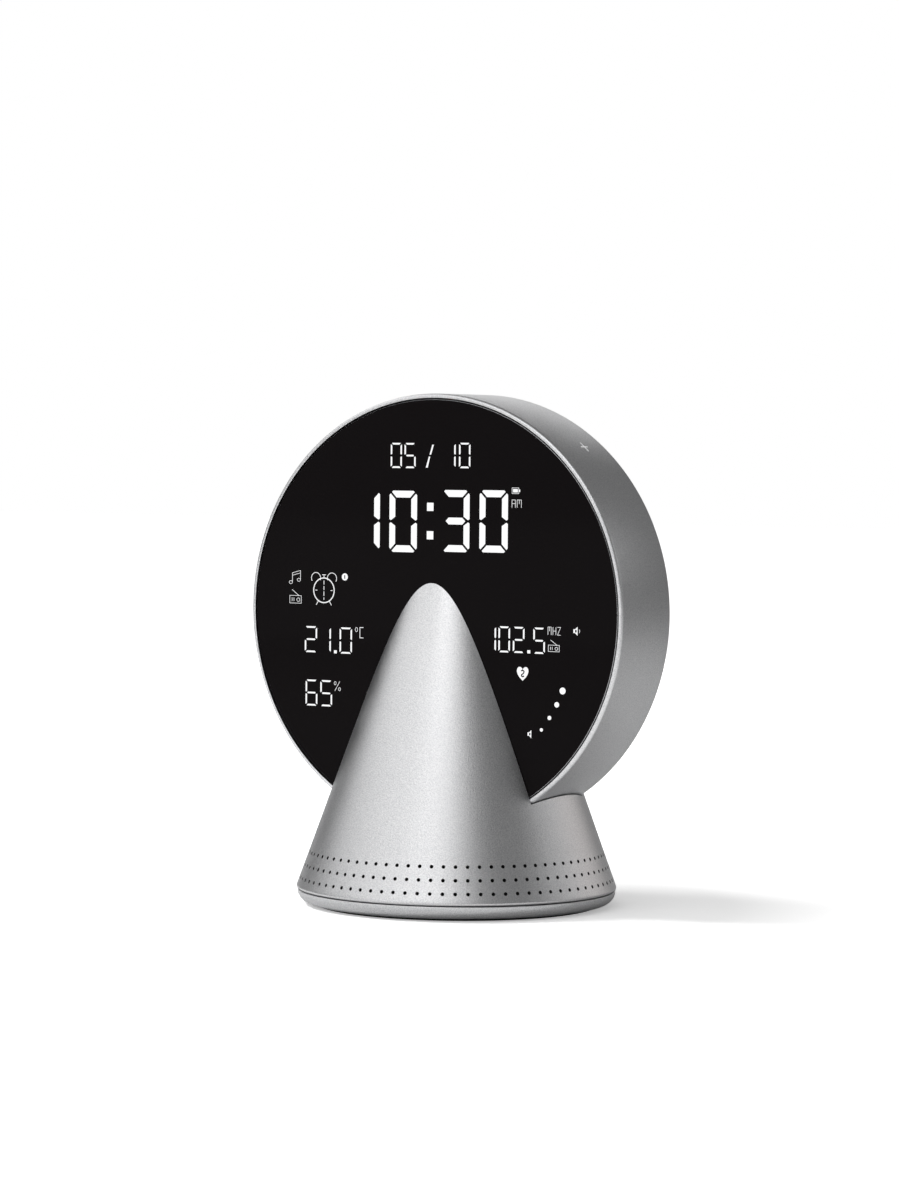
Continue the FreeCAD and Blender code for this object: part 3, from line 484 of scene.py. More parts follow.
def build_hole(work, column, row):
    """One cell of the band: a ring of quads from its edge to a round hole, and the hole's wall."""
    outline = cell_outline()
    outer = [band_point(column, row, across, up) for across, up in outline]
    centre_angle = math.tau * column / COLUMNS
    height = FIRST_ROW + ROW_PITCH * row
    centre = on_cone(centre_angle, height)
    outward = Vector((math.sin(centre_angle), -math.cos(centre_angle), CONE_SLOPE)).normalized()
    side = Vector((math.cos(centre_angle), math.sin(centre_angle), 0))
    upward = outward.cross(side)
    inner = []
    for across, up in outline:
        turn = math.atan2(up, across)
        inner.append(centre + HOLE_RADIUS * (side * math.cos(turn) + upward * math.sin(turn)))
    depth = [point - outward * CONE_WALL for point in inner]
    lip = [point - outward * HOLE_LIP for point in inner]
    grid_faces(work, [outer, inner, lip])
    before = len(work.faces)
    grid_faces(work, [lip, depth])
    work.faces.ensure_lookup_table()
    # The wall past the thin lip takes the second material, black: a painted shade inside the hole.
    for face in work.faces[before:]:
        face.material_index = SECOND_MATERIAL


def build_cone(work):
    count = COLUMNS * CELL_STEPS
    even = [math.tau * i / count for i in range(count)]
    tops = column_tops()
    for column in range(COLUMNS):
        for row in range(ROWS):
            build_hole(work, column, row)
    build_cone_side(work, even, tops)
    build_cone_foot(work, count)
    build_slot(work, tops)


def build_cone_side(work, even, tops):
    """The side above the band of holes, up to the slot."""
    rows = []
    for step in range(SIDE_ROWS + 1):
        share = step / SIDE_ROWS
        row = []
        for start, top in zip(even, tops):
            angle = start + (top - start) * share
            row.append(on_cone(angle, BAND_HIGH + (slot_height(top)[0] - BAND_HIGH) * share))
        rows.append(row)
    grid_faces(work, rows)


def build_cone_foot(work, count):
    """Below the band: a rounded edge, the underside and a little of the inside."""
    tilt = math.atan(CONE_SLOPE)
    level = SEAM + CONE_ROUNDING
    line = FOOT_RADIUS * math.cos(tilt) + SEAM * math.sin(tilt)
    centre = ((line - CONE_ROUNDING - level * math.sin(tilt)) / math.cos(tilt), level)
    edge = arc_points(centre, CONE_ROUNDING, math.degrees(tilt), -RIGHT_ANGLE, CONE_ROUNDING_STEPS)
    inside = centre[0] - CONE_WALL
    profile = [(cone_radius(BAND_LOW), BAND_LOW)] + edge + [(inside, SEAM), (inside, BAND_LOW)]
    grid_faces(work, turned_rows(profile, count, about_base))


def build_slot(work, tops):
    """The slot's walls: flat behind each nose, and round under the head."""
    half = len(tops) // 2
    right = [on_cone(angle, slot_height(angle)[0]) for angle in tops[:half + 1]]
    left = [Vector((-point.x, point.y, point.z)) for point in right]
    front = next(i for i in range(half) if not slot_height(tops[i] + ANGLE_NUDGE)[1])
    back = next(i for i in range(front, half + 1) if slot_height(tops[i] + ANGLE_NUDGE)[1])
    arcs = [floor_arc(left[i], right[i]) for i in range(front, back + 1)]
    grid_faces(work, arcs, closed=False)
    front_flat = right[:front] + arcs[0][::-1] + left[1:front][::-1]
    back_flat = right[back + 1:] + left[back + 1:-1][::-1] + arcs[-1]
    for outline in (front_flat, back_flat):
        work.faces.new([work.verts.new(point) for point in outline])


def floor_arc(start, end):
    """Points along the slot's round floor between two points at the same depth."""
    points = []
    for i in range(SADDLE_STEPS + 1):
        across = start.x + (end.x - start.x) * i / SADDLE_STEPS
        points.append(Vector((across, start.y, HEAD_HEIGHT - math.sqrt(SLOT_RADIUS ** 2 - across ** 2))))
    return points


# Base
def build_tray(work):
    top = TRAY_HIGH.z
    low = TRAY_LOW.z
    inside = TRAY_RADIUS - TRAY_WALL
    lip_centre = (TRAY_RADIUS - TRAY_TOP_ROUND, top - TRAY_TOP_ROUND)
    lip = arc_points(lip_centre, TRAY_TOP_ROUND, RIGHT_ANGLE, 0, TRAY_TOP_ROUND_STEPS)
    bend_centre = (TRAY_RADIUS - TRAY_ROUND, low + TRAY_ROUND)
    bend = arc_points(bend_centre, TRAY_ROUND, 0, -RIGHT_ANGLE, TRAY_ROUND_STEPS)
    profile = [(inside, top - TRAY_WALL_SHOWN), (inside, top)] + lip + bend
    rings = grid_faces(work, turned_rows(profile, COLUMNS * CELL_STEPS, about_base))
    work.faces.new(rings[-1])


# Marks on the face
def plate(work, points, proud=MARK_PROUD):
    """A thin flat shape on the glass, from its outline."""
    front = [work.verts.new(on_face(across, up, proud)) for across, up in points]
    back = [work.verts.new(on_face(across, up, 0)) for across, up in points]
    work.faces.new(front)
    join_rows(work, front, back)


def stroke(work, points, width, closed=False, proud=MARK_PROUD):
    """A line of even width, square at its ends and mitred at its corners."""
    count = len(points)
    flat = [Vector((across, up)) for across, up in points]
    left = []
    right = []
    for i, point in enumerate(flat):
        before = flat[i - 1] if i or closed else None
        after = flat[(i + 1) % count] if i < count - 1 or closed else None
        arriving = (point - before).normalized() if before is not None else (after - point).normalized()
        leaving = (after - point).normalized() if after is not None else arriving
        middle = (arriving + leaving).normalized()
        side = Vector((-middle.y, middle.x)) * width / 2 / max(middle.dot(arriving), MITRE_LIMIT)
        left.append(point + side)
        right.append(point - side)
    for i in range(count if closed else count - 1):
        j = (i + 1) % count
        plate(work, [left[i], left[j], right[j], right[i]], proud)


def ring(work, across, up, radius, width, tall=1.0):
    stroke(work, oval(across, up, radius, tall), width, True)


def oval(across, up, radius, tall=1.0, start=0, end=FULL_TURN, sides=DISC_SIDES):
    """Points round an oval, or along a stretch of it."""
    whole = end - start == FULL_TURN
    steps = sides if whole else sides - 1
    turns = [math.radians(start + (end - start) * i / steps) for i in range(sides)]
    return [(across + radius * math.cos(turn), up + radius * tall * math.sin(turn)) for turn in turns]


def disc(work, across, up, radius):
    plate(work, oval(across, up, radius))


def box_points(across, up, width, height):
    return [
        (across - width / 2, up - height / 2),
        (across + width / 2, up - height / 2),
        (across + width / 2, up + height / 2),
        (across - width / 2, up + height / 2),
    ]


def figure(work, text, left, low, kind):
    """One seven-segment figure with mitred, slightly parted segments."""
    width, height, thick, gap = kind
    nick = thick * NICK_SHARE
    parting = gap * PARTING_SHARE
    middle = height / 2
    top = [
        (nick + gap, height),
        (width - nick - gap, height),
        (width - nick / 2 - gap, height - nick / 2),
        (width - thick - gap, height - thick),
        (thick + gap, height - thick),
        (nick / 2 + gap, height - nick / 2),
    ]
    side = [
        (0, height - nick - gap),
        (nick / 2, height - nick / 2 - gap),
        (thick, height - thick - gap),
        (thick, middle + thick / 2 + parting),
        (thick * TIP_SHARE, middle + parting),
        (0, middle + 2 * parting),
    ]
    bar = [
        (thick / 2 + gap, middle),
        (thick + gap, middle + thick / 2),
        (width - thick - gap, middle + thick / 2),
        (width - thick / 2 - gap, middle),
        (width - thick - gap, middle - thick / 2),
        (thick + gap, middle - thick / 2),
    ]
    segments = {
        "a": top,
        "b": [(width - x, y) for x, y in side],
        "c": [(width - x, height - y) for x, y in side],
        "d": [(x, height - y) for x, y in top],
        "e": [(x, height - y) for x, y in side],
        "f": side,
        "g": bar,
    }
    for name in FIGURES[text]:
        plate(work, [(left + x, low + y) for x, y in segments[name]])


def moved(points, across, up, scale=1.0, side=1):
    """Points scaled, mirrored where side is -1, and moved."""
    return [(across + side * x * scale, up + y * scale) for x, y in points]


def build_read_outs(work):
    for values in READ_OUTS:
        figure(work, *values)
    for values in POINTS:
        plate(work, box_points(*values))
    for points in SLASHES:
        plate(work, points)


def build_dots(work):
    for values in DOTS:
        disc(work, *values)


def build_battery_mark(work):
    """A filled cell inside a thin outline with its pole on the right."""
    stroke(work, box_points(*BATTERY_OUTLINE), FINE_LINE, True)
    for values in BATTERY_BLOCKS:
        plate(work, box_points(*values))


def build_letters(work):
    """The unit and half-day letters, drawn as thin segments."""
    for points in LETTER_LINES:
        stroke(work, points, FINE_LINE)
    for values in LETTER_RINGS:
        ring(work, *values)
    stroke(work, CELSIUS_LINE, LINE)


def build_note(work):
    """Two quavers joined by a double beam."""
    for points in NOTE_LINES:
        stroke(work, points, FINE_LINE)
    for values in NOTE_HEADS:
        ring(work, *values)


def build_radio_mark(work, across, up, width, height):
    """A portable radio: case, raised aerial, grille lines and a dial."""
    case = height * RADIO_CASE_SHARE
    middle = up - height / 2 + case / 2
    aerial = width * RADIO_AERIAL_SHARE
    stroke(work, box_points(across, middle, width, case), FINE_LINE, True)
    stroke(work, [(across - aerial, up + height / 2), (across + aerial, middle + case / 2)], FINE_LINE)
    right_share, up_share, radius_share = RADIO_DIAL_SHARES
    ring(work, across + width * right_share, middle + case * up_share, case * radius_share, FINE_LINE)
    low, high = [middle + case * share for share in RADIO_GRILLE_SPAN_SHARES]
    for share in RADIO_GRILLE_SHARES:
        line = across + width * share
        stroke(work, [(line, low), (line, high)], FINE_LINE)


def build_alarm_mark(work):
    """An alarm clock with two bells, a knob, two feet and a dashed hand."""
    ring(work, *ALARM_CENTRE, ALARM_RADIUS, BODY_LINE)
    for side in (-1, 1):
        stroke(work, moved(oval(*ALARM_BELL), *ALARM_CENTRE, side=side), LINE)
        for points in ALARM_SIDE_LINES:
            stroke(work, moved(points, *ALARM_CENTRE, side=side), LINE)
    for points in ALARM_MIDDLE_LINES:
        stroke(work, moved(points, *ALARM_CENTRE), LINE)


def build_speaker_marks(work):
    for across, up, scale in SPEAKER_MARKS:
        plate(work, moved(SPEAKER_SHAPE, across, up, scale))
    stroke(work, moved(SPEAKER_WAVE, *SPEAKER_WAVE_PLACE), FINE_LINE)


def build_heart(work):
    """A filled heart, drawn as half on each side."""
    for side in (-1, 1):
        plate(work, moved(HEART_HALF, *HEART_CENTRE, side=side))


def build_ink(work):
    """The dark figures inside the heart and the small disc, and the speakers' centres."""
    stroke(work, moved(HEART_CURL, *HEART_CENTRE), INK_LINE, proud=INK_PROUD)
    stroke(work, DISC_INK, INK_LINE, proud=INK_PROUD)
    for across, up, scale in SPEAKER_MARKS:
        plate(work, moved(SPEAKER_INK, across, up, scale), INK_PROUD)


# Rear cover screws
def drive_outline(radius=None):
    """A cross of 24 points or, with a radius, the points of a circle in the same directions."""
    long = COVER_SCREW_DRIVE
    half = COVER_SCREW_DRIVE_WIDTH / 2
    middle = (long + half) / 2
    quarter = [(long, 0), (long, half), (middle, half), (half, half), (half, middle), (half, long)]
    points = all_quarters(quarter)
    if radius is None:
        return points
    return [(x * radius / math.hypot(x, y), y * radius / math.hypot(x, y)) for x, y in points]


def build_cover_screws(work):
    """Four pan-head screws, each with a rounded edge and a cross recess."""
    back = COVER_BACK
    under = back - COVER_SCREW_HEAD_HEIGHT
    edge_centre = (COVER_SCREW_HEAD - COVER_SCREW_EDGE, back - COVER_SCREW_EDGE)
    edge = arc_points(edge_centre, COVER_SCREW_EDGE, 0, RIGHT_ANGLE, COVER_SCREW_EDGE_STEPS)
    profile = [(COVER_SCREW_SHANK, SCREW_TIP), (COVER_SCREW_SHANK, under), (COVER_SCREW_HEAD, under)] + edge
    outlines = [(drive_outline(radius), depth) for radius, depth in profile]
    outlines.append((drive_outline(), back))
    outlines.append((drive_outline(), back - COVER_SCREW_DRIVE_DEPTH))
    for x in (-COVER_SCREW_ACROSS, COVER_SCREW_ACROSS):
        for z in (HEAD_HEIGHT - COVER_SCREW_ACROSS, HEAD_HEIGHT + COVER_SCREW_ACROSS):
            rows = [[Vector((x + a, depth, z + b)) for a, b in points] for points, depth in outlines]
            rings = grid_faces(work, rows)
            work.faces.new(rings[0])
            work.faces.new(rings[-1])


def build_plus(work):
    """The touch mark on the rim: two crossed bars that follow the rim's curve."""
    radius = HEAD_RADIUS + PLUS_PROUD
    span = PLUS_ARM / HEAD_RADIUS
    for along, back in ((PLUS_STROKE / HEAD_RADIUS, PLUS_ARM), (span, PLUS_STROKE)):
        rows = []
        for i in range(PLUS_STEPS + 1):
            angle = PLUS_ANGLE + along * (i / PLUS_STEPS - 1 / 2)
            rows.append([
                about_head(HEAD_RADIUS, angle, PLUS_BACK - back / 2),
                about_head(radius, angle, PLUS_BACK - back / 2),
                about_head(radius, angle, PLUS_BACK + back / 2),
                about_head(HEAD_RADIUS, angle, PLUS_BACK + back / 2),
            ])
        grid_faces(work, rows, closed=False)


# Materials
RAMP_START = 0.3
RAMP_END = 0.7
NOISE_DETAIL = 2.0
METAL_DETAIL = 3.0
METAL_GRAIN = 0.4
METAL_GRAIN_HEIGHT = 0.08
METAL_SPREAD = 0.05
MOULDED_GRAIN = 0.6
MOULDED_GRAIN_HEIGHT = 0.01
MOULDED_SPREAD = 0.06
GLASS_SPECULAR = 0.03
THREAD_DISTORTION = 0.4
THREAD_HEIGHT = 0.1
TRACK_PITCH = 8.0
TRACK_SIZE = 0.03
TRACK_COLOUR = (0.020, 0.130, 0.060)
LIT_LOW = (0.95, 0.96, 0.98)
LIT_HIGH = (1, 1, 1)
LIT_STRENGTH = 0.9
# Glow of the printed mark on the rim: a painted light, as the print gives off none.
MARK_PAINTED_GLOW = 0.3
WHITE = (1, 1, 1, 1)
# Numbers of a mix node's inputs for single values
MIX_SHARE = 0
MIX_FIRST = 2
MIX_SECOND = 3


def new_material(name):
    material = bpy.data.materials.new(name)
    material.use_nodes = True
    tree = material.node_tree
    return material, tree.nodes, tree.links, tree.nodes["Principled BSDF"]


def position(nodes):
    return nodes.new("ShaderNodeTexCoord").outputs["Object"]


def noise(nodes, links, grain, detail=NOISE_DETAIL):
    """A noise whose grain is about that many millimetres."""
    texture = nodes.new("ShaderNodeTexNoise")
    texture.inputs["Scale"].default_value = 1 / (grain * MM)
    texture.inputs["Detail"].default_value = detail
    links.new(position(nodes), texture.inputs["Vector"])
    return texture.outputs["Fac"]


def ramp(nodes, links, source, low, high):
    """Colours from low to high over the middle of the source's range."""
    node = nodes.new("ShaderNodeValToRGB")
    node.color_ramp.elements[0].position = RAMP_START
    node.color_ramp.elements[1].position = RAMP_END
    node.color_ramp.elements[0].color = (*low, 1)
    node.color_ramp.elements[1].color = (*high, 1)
    links.new(source, node.inputs["Fac"])
    return node.outputs["Color"]


def bump(nodes, links, shader, source, height):
    node = nodes.new("ShaderNodeBump")
    node.inputs["Distance"].default_value = height * MM
    links.new(source, node.inputs["Height"])
    links.new(node.outputs["Normal"], shader.inputs["Normal"])


def spread(nodes, links, source, low, high, start=0.0, end=1.0):
    """Values from low to high as the source goes from start to end."""
    node = nodes.new("ShaderNodeMapRange")
    for name, value in (("From Min", start), ("From Max", end), ("To Min", low), ("To Max", high)):
        node.inputs[name].default_value = value
    links.new(source, node.inputs["Value"])
    return node.outputs["Result"]


def combined(nodes, links, operation, first, second):
    """The sum or product of two values, kept between 0 and 1."""
    node = nodes.new("ShaderNodeMath")
    node.operation = operation
    node.use_clamp = True
    links.new(first, node.inputs[0])
    links.new(second, node.inputs[1])
    return node.outputs[0]


def feed(links, source, socket):
    """Sets a socket to a number, or links a node's output to it."""
    if isinstance(source, float):
        socket.default_value = source
    else:
        links.new(source, socket)


def mixed(nodes, links, share, first, second):
    """A value that goes from the first to the second as the share goes from 0 to 1."""
    node = nodes.new("ShaderNodeMix")
    for number, source in ((MIX_SHARE, share), (MIX_FIRST, first), (MIX_SECOND, second)):
        feed(links, source, node.inputs[number])
    return node.outputs[0]


def blasted_metal(name, low, high, roughness, grain=METAL_GRAIN, height=METAL_GRAIN_HEIGHT):
    """Bead-blasted metal: a fine grain in its surface and colour, and a coarser one in its shine."""
    material, nodes, links, shader = new_material(name)
    shader.inputs["Metallic"].default_value = 1.0
    fine = noise(nodes, links, grain, METAL_DETAIL)
    links.new(ramp(nodes, links, fine, low, high), shader.inputs["Base Color"])
    coarse = noise(nodes, links, grain * 2)
    shine = spread(nodes, links, coarse, roughness - METAL_SPREAD, roughness + METAL_SPREAD)
    links.new(shine, shader.inputs["Roughness"])
    bump(nodes, links, shader, fine, height)
    return material


def moulded(name, low, high, roughness, grain=MOULDED_GRAIN, height=MOULDED_GRAIN_HEIGHT):
    """Moulded plastic or rubber with a fine spark texture."""
    material, nodes, links, shader = new_material(name)
    fine = noise(nodes, links, grain)
    links.new(ramp(nodes, links, fine, low, high), shader.inputs["Base Color"])
    shine = spread(nodes, links, fine, roughness - MOULDED_SPREAD, roughness + MOULDED_SPREAD)
    links.new(shine, shader.inputs["Roughness"])
    bump(nodes, links, shader, fine, height)
    return material


def dark_glass(name, low, high, roughness, grain):
    material, nodes, links, shader = new_material(name)
    shade = noise(nodes, links, grain)
    links.new(ramp(nodes, links, shade, low, high), shader.inputs["Base Color"])
    shader.inputs["Roughness"].default_value = roughness
    shader.inputs["Specular IOR Level"].default_value = GLASS_SPECULAR
    return material


def woven(name, low, high, roughness, pitch):
    """Plain woven cloth: two crossed sets of threads."""
    material, nodes, links, shader = new_material(name)
    place = position(nodes)
    threads = []
    for axis in ("X", "Z"):
        wave = nodes.new("ShaderNodeTexWave")
        wave.bands_direction = axis
        wave.inputs["Scale"].default_value = 1 / (pitch * MM) / math.tau
        wave.inputs["Distortion"].default_value = THREAD_DISTORTION
        links.new(place, wave.inputs["Vector"])
        threads.append(wave.outputs["Fac"])
    weave = combined(nodes, links, "MULTIPLY", *threads)
    links.new(ramp(nodes, links, weave, low, high), shader.inputs["Base Color"])
    shader.inputs["Roughness"].default_value = roughness
    bump(nodes, links, shader, weave, THREAD_HEIGHT)
    return material


def circuit_board(name, low, high, roughness):
    """Solder mask with faint tracks under it."""
    material, nodes, links, shader = new_material(name)
    tracks = nodes.new("ShaderNodeTexBrick")
    tracks.inputs["Scale"].default_value = 1 / (TRACK_PITCH * MM)
    for socket, colour in (("Color1", low), ("Color2", high), ("Mortar", TRACK_COLOUR)):
        tracks.inputs[socket].default_value = (*colour, 1)
    tracks.inputs["Mortar Size"].default_value = TRACK_SIZE
    links.new(position(nodes), tracks.inputs["Vector"])
    links.new(tracks.outputs["Color"], shader.inputs["Base Color"])
    shader.inputs["Roughness"].default_value = roughness
    return material


def lit_lens(name, low, high, roughness, grain):
    """A lens or mark that gives off white light."""
    material, nodes, links, shader = new_material(name)
    speckle = noise(nodes, links, grain)
    links.new(ramp(nodes, links, speckle, low, high), shader.inputs["Base Color"])
    links.new(ramp(nodes, links, speckle, LIT_LOW, LIT_HIGH), shader.inputs["Emission Color"])
    shader.inputs["Emission Strength"].default_value = LIT_STRENGTH
    shader.inputs["Roughness"].default_value = roughness
    return material


# How each slot is made: function, two colours and roughness, then its grain or pitch and the grain's height
FINISHES = {
    "satin_aluminium": (blasted_metal, (0.59, 0.595, 0.61), (0.84, 0.84, 0.845), 0.34),
    "black_glass": (dark_glass, (0.0056, 0.0044, 0.0048), (0.0060, 0.0048, 0.0052), 0.05, 30.0),
    "smoked_film": (moulded, (0.03, 0.03, 0.03), (0.05, 0.05, 0.05), 0.3),
    "black_plastic": (moulded, (0.018, 0.018, 0.019), (0.03, 0.03, 0.031), 0.5),
    "circuit_board": (circuit_board, (0.010, 0.075, 0.035), (0.012, 0.085, 0.040), 0.35),
    "lamp_white": (lit_lens, (0.12, 0.12, 0.12), (0.16, 0.16, 0.16), 0.3, 0.8),
    "battery_foil": (blasted_metal, (0.6, 0.6, 0.61), (0.7, 0.7, 0.71), 0.3, 2.0, 0.05),
    "screw_steel": (blasted_metal, (0.4, 0.4, 0.41), (0.5, 0.5, 0.51), 0.3, 0.2, 0.003),
    "key_plastic": (moulded, (0.10, 0.10, 0.105), (0.14, 0.14, 0.145), 0.45, 0.4, 0.006),
    "component_black": (moulded, (0.012, 0.012, 0.012), (0.02, 0.02, 0.02), 0.5),
    "socket_steel": (blasted_metal, (0.55, 0.55, 0.56), (0.64, 0.64, 0.65), 0.22, 0.3, 0.002),
    "ribbon_film": (moulded, (0.6, 0.6, 0.55), (0.7, 0.7, 0.66), 0.4),
    "copper_foil": (blasted_metal, (0.72, 0.4, 0.26), (0.8, 0.47, 0.32), 0.3, 1.0, 0.01),
    "lead_rubber": (moulded, (0.015, 0.015, 0.015), (0.025, 0.025, 0.025), 0.6),
    "liner_fabric": (woven, (0.004, 0.004, 0.004), (0.02, 0.02, 0.02), 0.95, 0.5),
    "foot_rubber": (moulded, (0.015, 0.015, 0.015), (0.03, 0.03, 0.03), 0.8, 0.8, 0.03),
    "foam": (moulded, (0.02, 0.02, 0.02), (0.05, 0.05, 0.05), 0.95, 0.7, 0.15),
    "speaker_steel": (blasted_metal, (0.1, 0.1, 0.105), (0.14, 0.14, 0.145), 0.45),
    "magnet_iron": (moulded, (0.05, 0.05, 0.052), (0.08, 0.08, 0.082), 0.55),
    "diaphragm_fabric": (woven, (0.01, 0.01, 0.01), (0.03, 0.03, 0.03), 0.95, 0.4),
}
# Colours and roughness of the glass's ground edge and of the printed mark on the rim
GLASS_EDGE = ((0.40, 0.40, 0.41), (0.46, 0.46, 0.47), 0.25)
MARK_GREY = ((0.85, 0.85, 0.86), (0.95, 0.95, 0.96), 0.7)


def make_finishes():
    made = {slot: make(slot, *values) for slot, (make, *values) in FINISHES.items()}
    for part in frame["record"]["subparts"]:
        mesh = frame["nodes"][part["node"]].data
        mesh.materials.clear()
        mesh.materials.append(made[part["material_slot"]])
    return made


# Pieces
def make_pieces(finishes):
    metal = finishes["satin_aluminium"]
    rim = mesh_piece("rim_ring", build_rim, metal)
    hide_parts("head_rim")
    glass = mesh_piece("glass_disc", build_glass, finishes["black_glass"])
    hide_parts("front_glass")
    glass.data.materials.append(blasted_metal("glass_edge", *GLASS_EDGE))
    cone = mesh_piece("cone_body", build_cone, metal)
    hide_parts("cone_shell")
    # Black for the holes' walls, a painted shade inside the holes.
    cone.data.materials.append(finishes["component_black"])
    tray = mesh_piece("tray_ring", build_tray, metal)
    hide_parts("base_tray")
    screws = mesh_piece("cover_screws", build_cover_screws, finishes["screw_steel"])
    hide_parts("rear_cover_screws")
    make_marks(finishes)


def make_marks(finishes):
    """The lit figures and marks on the glass, one piece per group, and the printed mark on the rim with a
    painted glow.
    """
    lit = {
        "read_outs": build_read_outs,
        "volume_dots": build_dots,
        "battery_mark": build_battery_mark,
        "unit_letters": build_letters,
        "music_mark": build_note,
        "radio_mark_left": lambda work: build_radio_mark(work, *RADIO_LEFT),
        "radio_mark_right": lambda work: build_radio_mark(work, *RADIO_RIGHT),
        "alarm_mark": build_alarm_mark,
        "speaker_marks": build_speaker_marks,
        "heart_mark": build_heart,
    }
    for name, build in lit.items():
        mesh_piece(name, build, finishes["lamp_white"])
    mesh_piece("dark_marks", build_ink, finishes["black_glass"])
    pale = blasted_metal("mark_grey", *MARK_GREY)
    print_shader = pale.node_tree.nodes["Principled BSDF"]
    print_shader.inputs["Metallic"].default_value = 0.0
    # A painted glow on the print, which gives off no light of its own, keeps it pale against the rim.
    print_shader.inputs["Emission Color"].default_value = WHITE
    print_shader.inputs["Emission Strength"].default_value = MARK_PAINTED_GLOW
    mesh_piece("plus_mark", build_plus, pale)


# Camera
def direction(turn, tilt):
    """The direction at an angle from the front towards +X, and at an angle above the level."""
    return Vector((
        math.sin(turn) * math.cos(tilt),
        -math.cos(turn) * math.cos(tilt),
        math.sin(tilt),
    ))


def camera_axes():
    back = direction(CAMERA_YAW, CAMERA_PITCH)
    right = (-back).cross(Vector((0, 0, 1))).normalized()
    up = right.cross(-back)
    cosine = math.cos(CAMERA_ROLL)
    sine = math.sin(CAMERA_ROLL)
    return cosine * right + sine * up, cosine * up - sine * right, back


def make_camera():
    right, up, back = camera_axes()
    place = AIM + back * CAMERA_DISTANCE + right * CAMERA_ACROSS + up * CAMERA_UP
    data = bpy.data.cameras.new("photo_camera")
    data.sensor_fit = "VERTICAL"
    data.sensor_height = SENSOR_HEIGHT
    data.lens = CAMERA_FOCAL_PIXELS / PHOTO_HEIGHT_PIXELS * SENSOR_HEIGHT
    data.clip_end = CAMERA_REACH * MM
    camera = add_object("photo_camera", data)
    camera.matrix_world = Matrix.Translation(place * MM) @ Matrix((right, up, back)).transposed().to_4x4()
    bpy.context.scene.camera = camera


# Studio
FLOOR_REACH = 6000.0
# The floor's glow for the camera grows from FLOOR_GLOW near the base to full at FLOOR_FAR: a painted shade
# near the base that deepens its shadow there and fades it further out.
FLOOR_NEAR = 100.0
FLOOR_FAR = 205.0
FLOOR_GLOW = 0.36
FLOOR_WHITE = 0.95
# The floor is painted darker for every ray but the camera's: a painted shade in what the metal reflects and
# in the light the floor throws back.
FLOOR_WHITE_REFLECTED = 0.6
FLOOR_ROUGHNESS = 0.9
# What metal sees of the floor is painted: brighter before the object than behind it, and a painted shadow
# close under the base.
PAINTED_SHEEN_BEHIND = 0.02
PAINTED_SHEEN_FRONT = 0.47
PAINTED_SHEEN_START = -60.0
PAINTED_SHEEN_END = 50.0
UNDER_SHADE_NEAR = 56.0
UNDER_SHADE_FAR = 90.0
WORLD_SEEN = 1.0
WORLD_LEVEL = 0.175
# Lamps: azimuth from the front towards +X, elevation, distance, width, height and power
LAMPS = {
    "key": (-46, 42, 1500, 2800, 1500, 12.2),
    "front": (19, 40, 1500, 850, 1200, 3.5),
    "low": (-8, 2, 1700, 2400, 500, 2.4),
    "left": (-118, 40, 1500, 800, 700, 1.5),
    "behind": (213, 14, 1600, 1200, 900, 2.9),
    "right": (122, 22, 1500, 950, 500, 0.75),
}
# A small lamp that the metal doesn't mirror, for the shadow beside the base
SHADOW_LAMP = (-62, 47, 1500, 320, 320, 12.5)
# A slightly warm lamp for the right edge of the base, which lights these pieces alone
EDGE_LAMP = (150, 11, 1500, 900, 450, 0.75)
EDGE_COLOUR = (1.0, 0.93, 0.90)
EDGE_PIECES = ("cone_body", "tray_ring")


def make_floor():
    work = bmesh.new()
    reach = FLOOR_REACH * MM
    corners = [(-reach, -reach, 0), (reach, -reach, 0), (reach, reach, 0), (-reach, reach, 0)]
    work.faces.new([work.verts.new(corner) for corner in corners])
    floor = mesh_object("floor", work)
    material, nodes, links, shader = new_material("floor")
    shade = seen_level(nodes, links, FLOOR_WHITE, FLOOR_WHITE_REFLECTED, FLOOR_WHITE_REFLECTED)
    links.new(shade, shader.inputs["Base Color"])
    shader.inputs["Roughness"].default_value = FLOOR_ROUGHNESS
    shader.inputs["Specular IOR Level"].default_value = 0.0
    shader.inputs["Emission Color"].default_value = WHITE
    length = nodes.new("ShaderNodeVectorMath")
    length.operation = "LENGTH"
    links.new(position(nodes), length.inputs[0])
    distance = length.outputs["Value"]
    # Weaker glow near the base, a painted shade where the shadow falls.
    glow = spread(nodes, links, distance, FLOOR_GLOW, 1.0, FLOOR_NEAR * MM, FLOOR_FAR * MM)
    # The floor that glossy rays see is a painted reflection, with a painted shadow under the base.
    painted_sheen = painted_floor_reflection(nodes, links, distance)
    links.new(seen_level(nodes, links, glow, painted_sheen), shader.inputs["Emission Strength"])
    floor.data.materials.append(material)


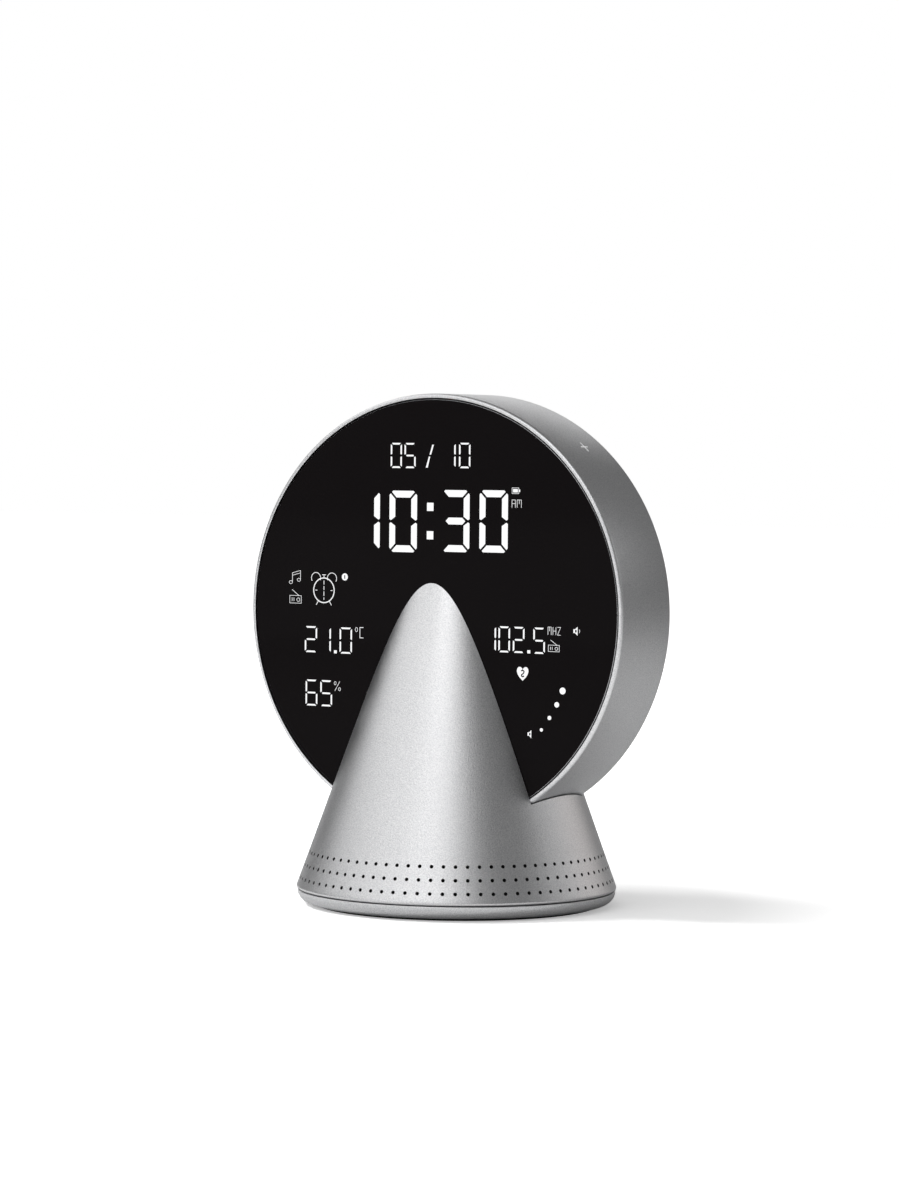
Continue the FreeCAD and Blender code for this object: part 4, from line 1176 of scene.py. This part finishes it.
def painted_floor_reflection(nodes, links, distance):
    """What metal sees of the floor, a painted reflection: brighter before the object than behind it, and a
    painted shadow dark close under it.
    """
    parts = nodes.new("ShaderNodeSeparateXYZ")
    links.new(position(nodes), parts.inputs[0])
    ends = (PAINTED_SHEEN_START * MM, PAINTED_SHEEN_END * MM)
    painted_sheen = spread(nodes, links, parts.outputs["Y"], PAINTED_SHEEN_FRONT, PAINTED_SHEEN_BEHIND, *ends)
    # A painted shadow under the base, seen in the metal's reflections.
    under_shade = spread(nodes, links, distance, 0.0, 1.0, UNDER_SHADE_NEAR * MM, UNDER_SHADE_FAR * MM)
    return combined(nodes, links, "MULTIPLY", painted_sheen, under_shade)


def seen_level(nodes, links, camera_level, other_level, rest=0.0):
    """A strength for camera rays, another for glossy and transmission rays, and a third for the rest."""
    seen = nodes.new("ShaderNodeLightPath").outputs
    bounced = combined(nodes, links, "ADD", seen["Is Glossy Ray"], seen["Is Transmission Ray"])
    unseen = mixed(nodes, links, bounced, rest, other_level)
    return mixed(nodes, links, seen["Is Camera Ray"], unseen, camera_level)


def make_lamp(name, azimuth, elevation, distance, width, height, power):
    outward = direction(math.radians(azimuth), math.radians(elevation))
    data = bpy.data.lights.new(name, "AREA")
    data.shape = "RECTANGLE"
    data.size = width * MM
    data.size_y = height * MM
    data.energy = power
    lamp = add_object(name, data)
    lamp.location = (AIM + outward * distance) * MM
    lamp.rotation_euler = outward.to_track_quat("Z", "Y").to_euler()
    return lamp


def make_edge_lamp():
    lamp = make_lamp("edge", *EDGE_LAMP)
    lamp.data.color = EDGE_COLOUR
    lit = bpy.data.collections.new("edge_lamp_pieces")
    for name in EDGE_PIECES:
        lit.objects.link(bpy.data.objects[name])
    lamp.light_linking.receiver_collection = lit


def make_world():
    world = bpy.data.worlds.new("studio")
    bpy.context.scene.world = world
    world.use_nodes = True
    nodes = world.node_tree.nodes
    links = world.node_tree.links
    background = nodes["Background"]
    links.new(seen_level(nodes, links, WORLD_SEEN, WORLD_LEVEL, WORLD_LEVEL), background.inputs["Strength"])
    background.inputs["Color"].default_value = WHITE


finishes = make_finishes()
make_pieces(finishes)
make_camera()
make_floor()
make_world()
for name, values in LAMPS.items():
    make_lamp(name, *values)
make_lamp("shadow", *SHADOW_LAMP).visible_glossy = False
make_edge_lamp()
bpy.context.scene.view_settings.view_transform = "Standard"
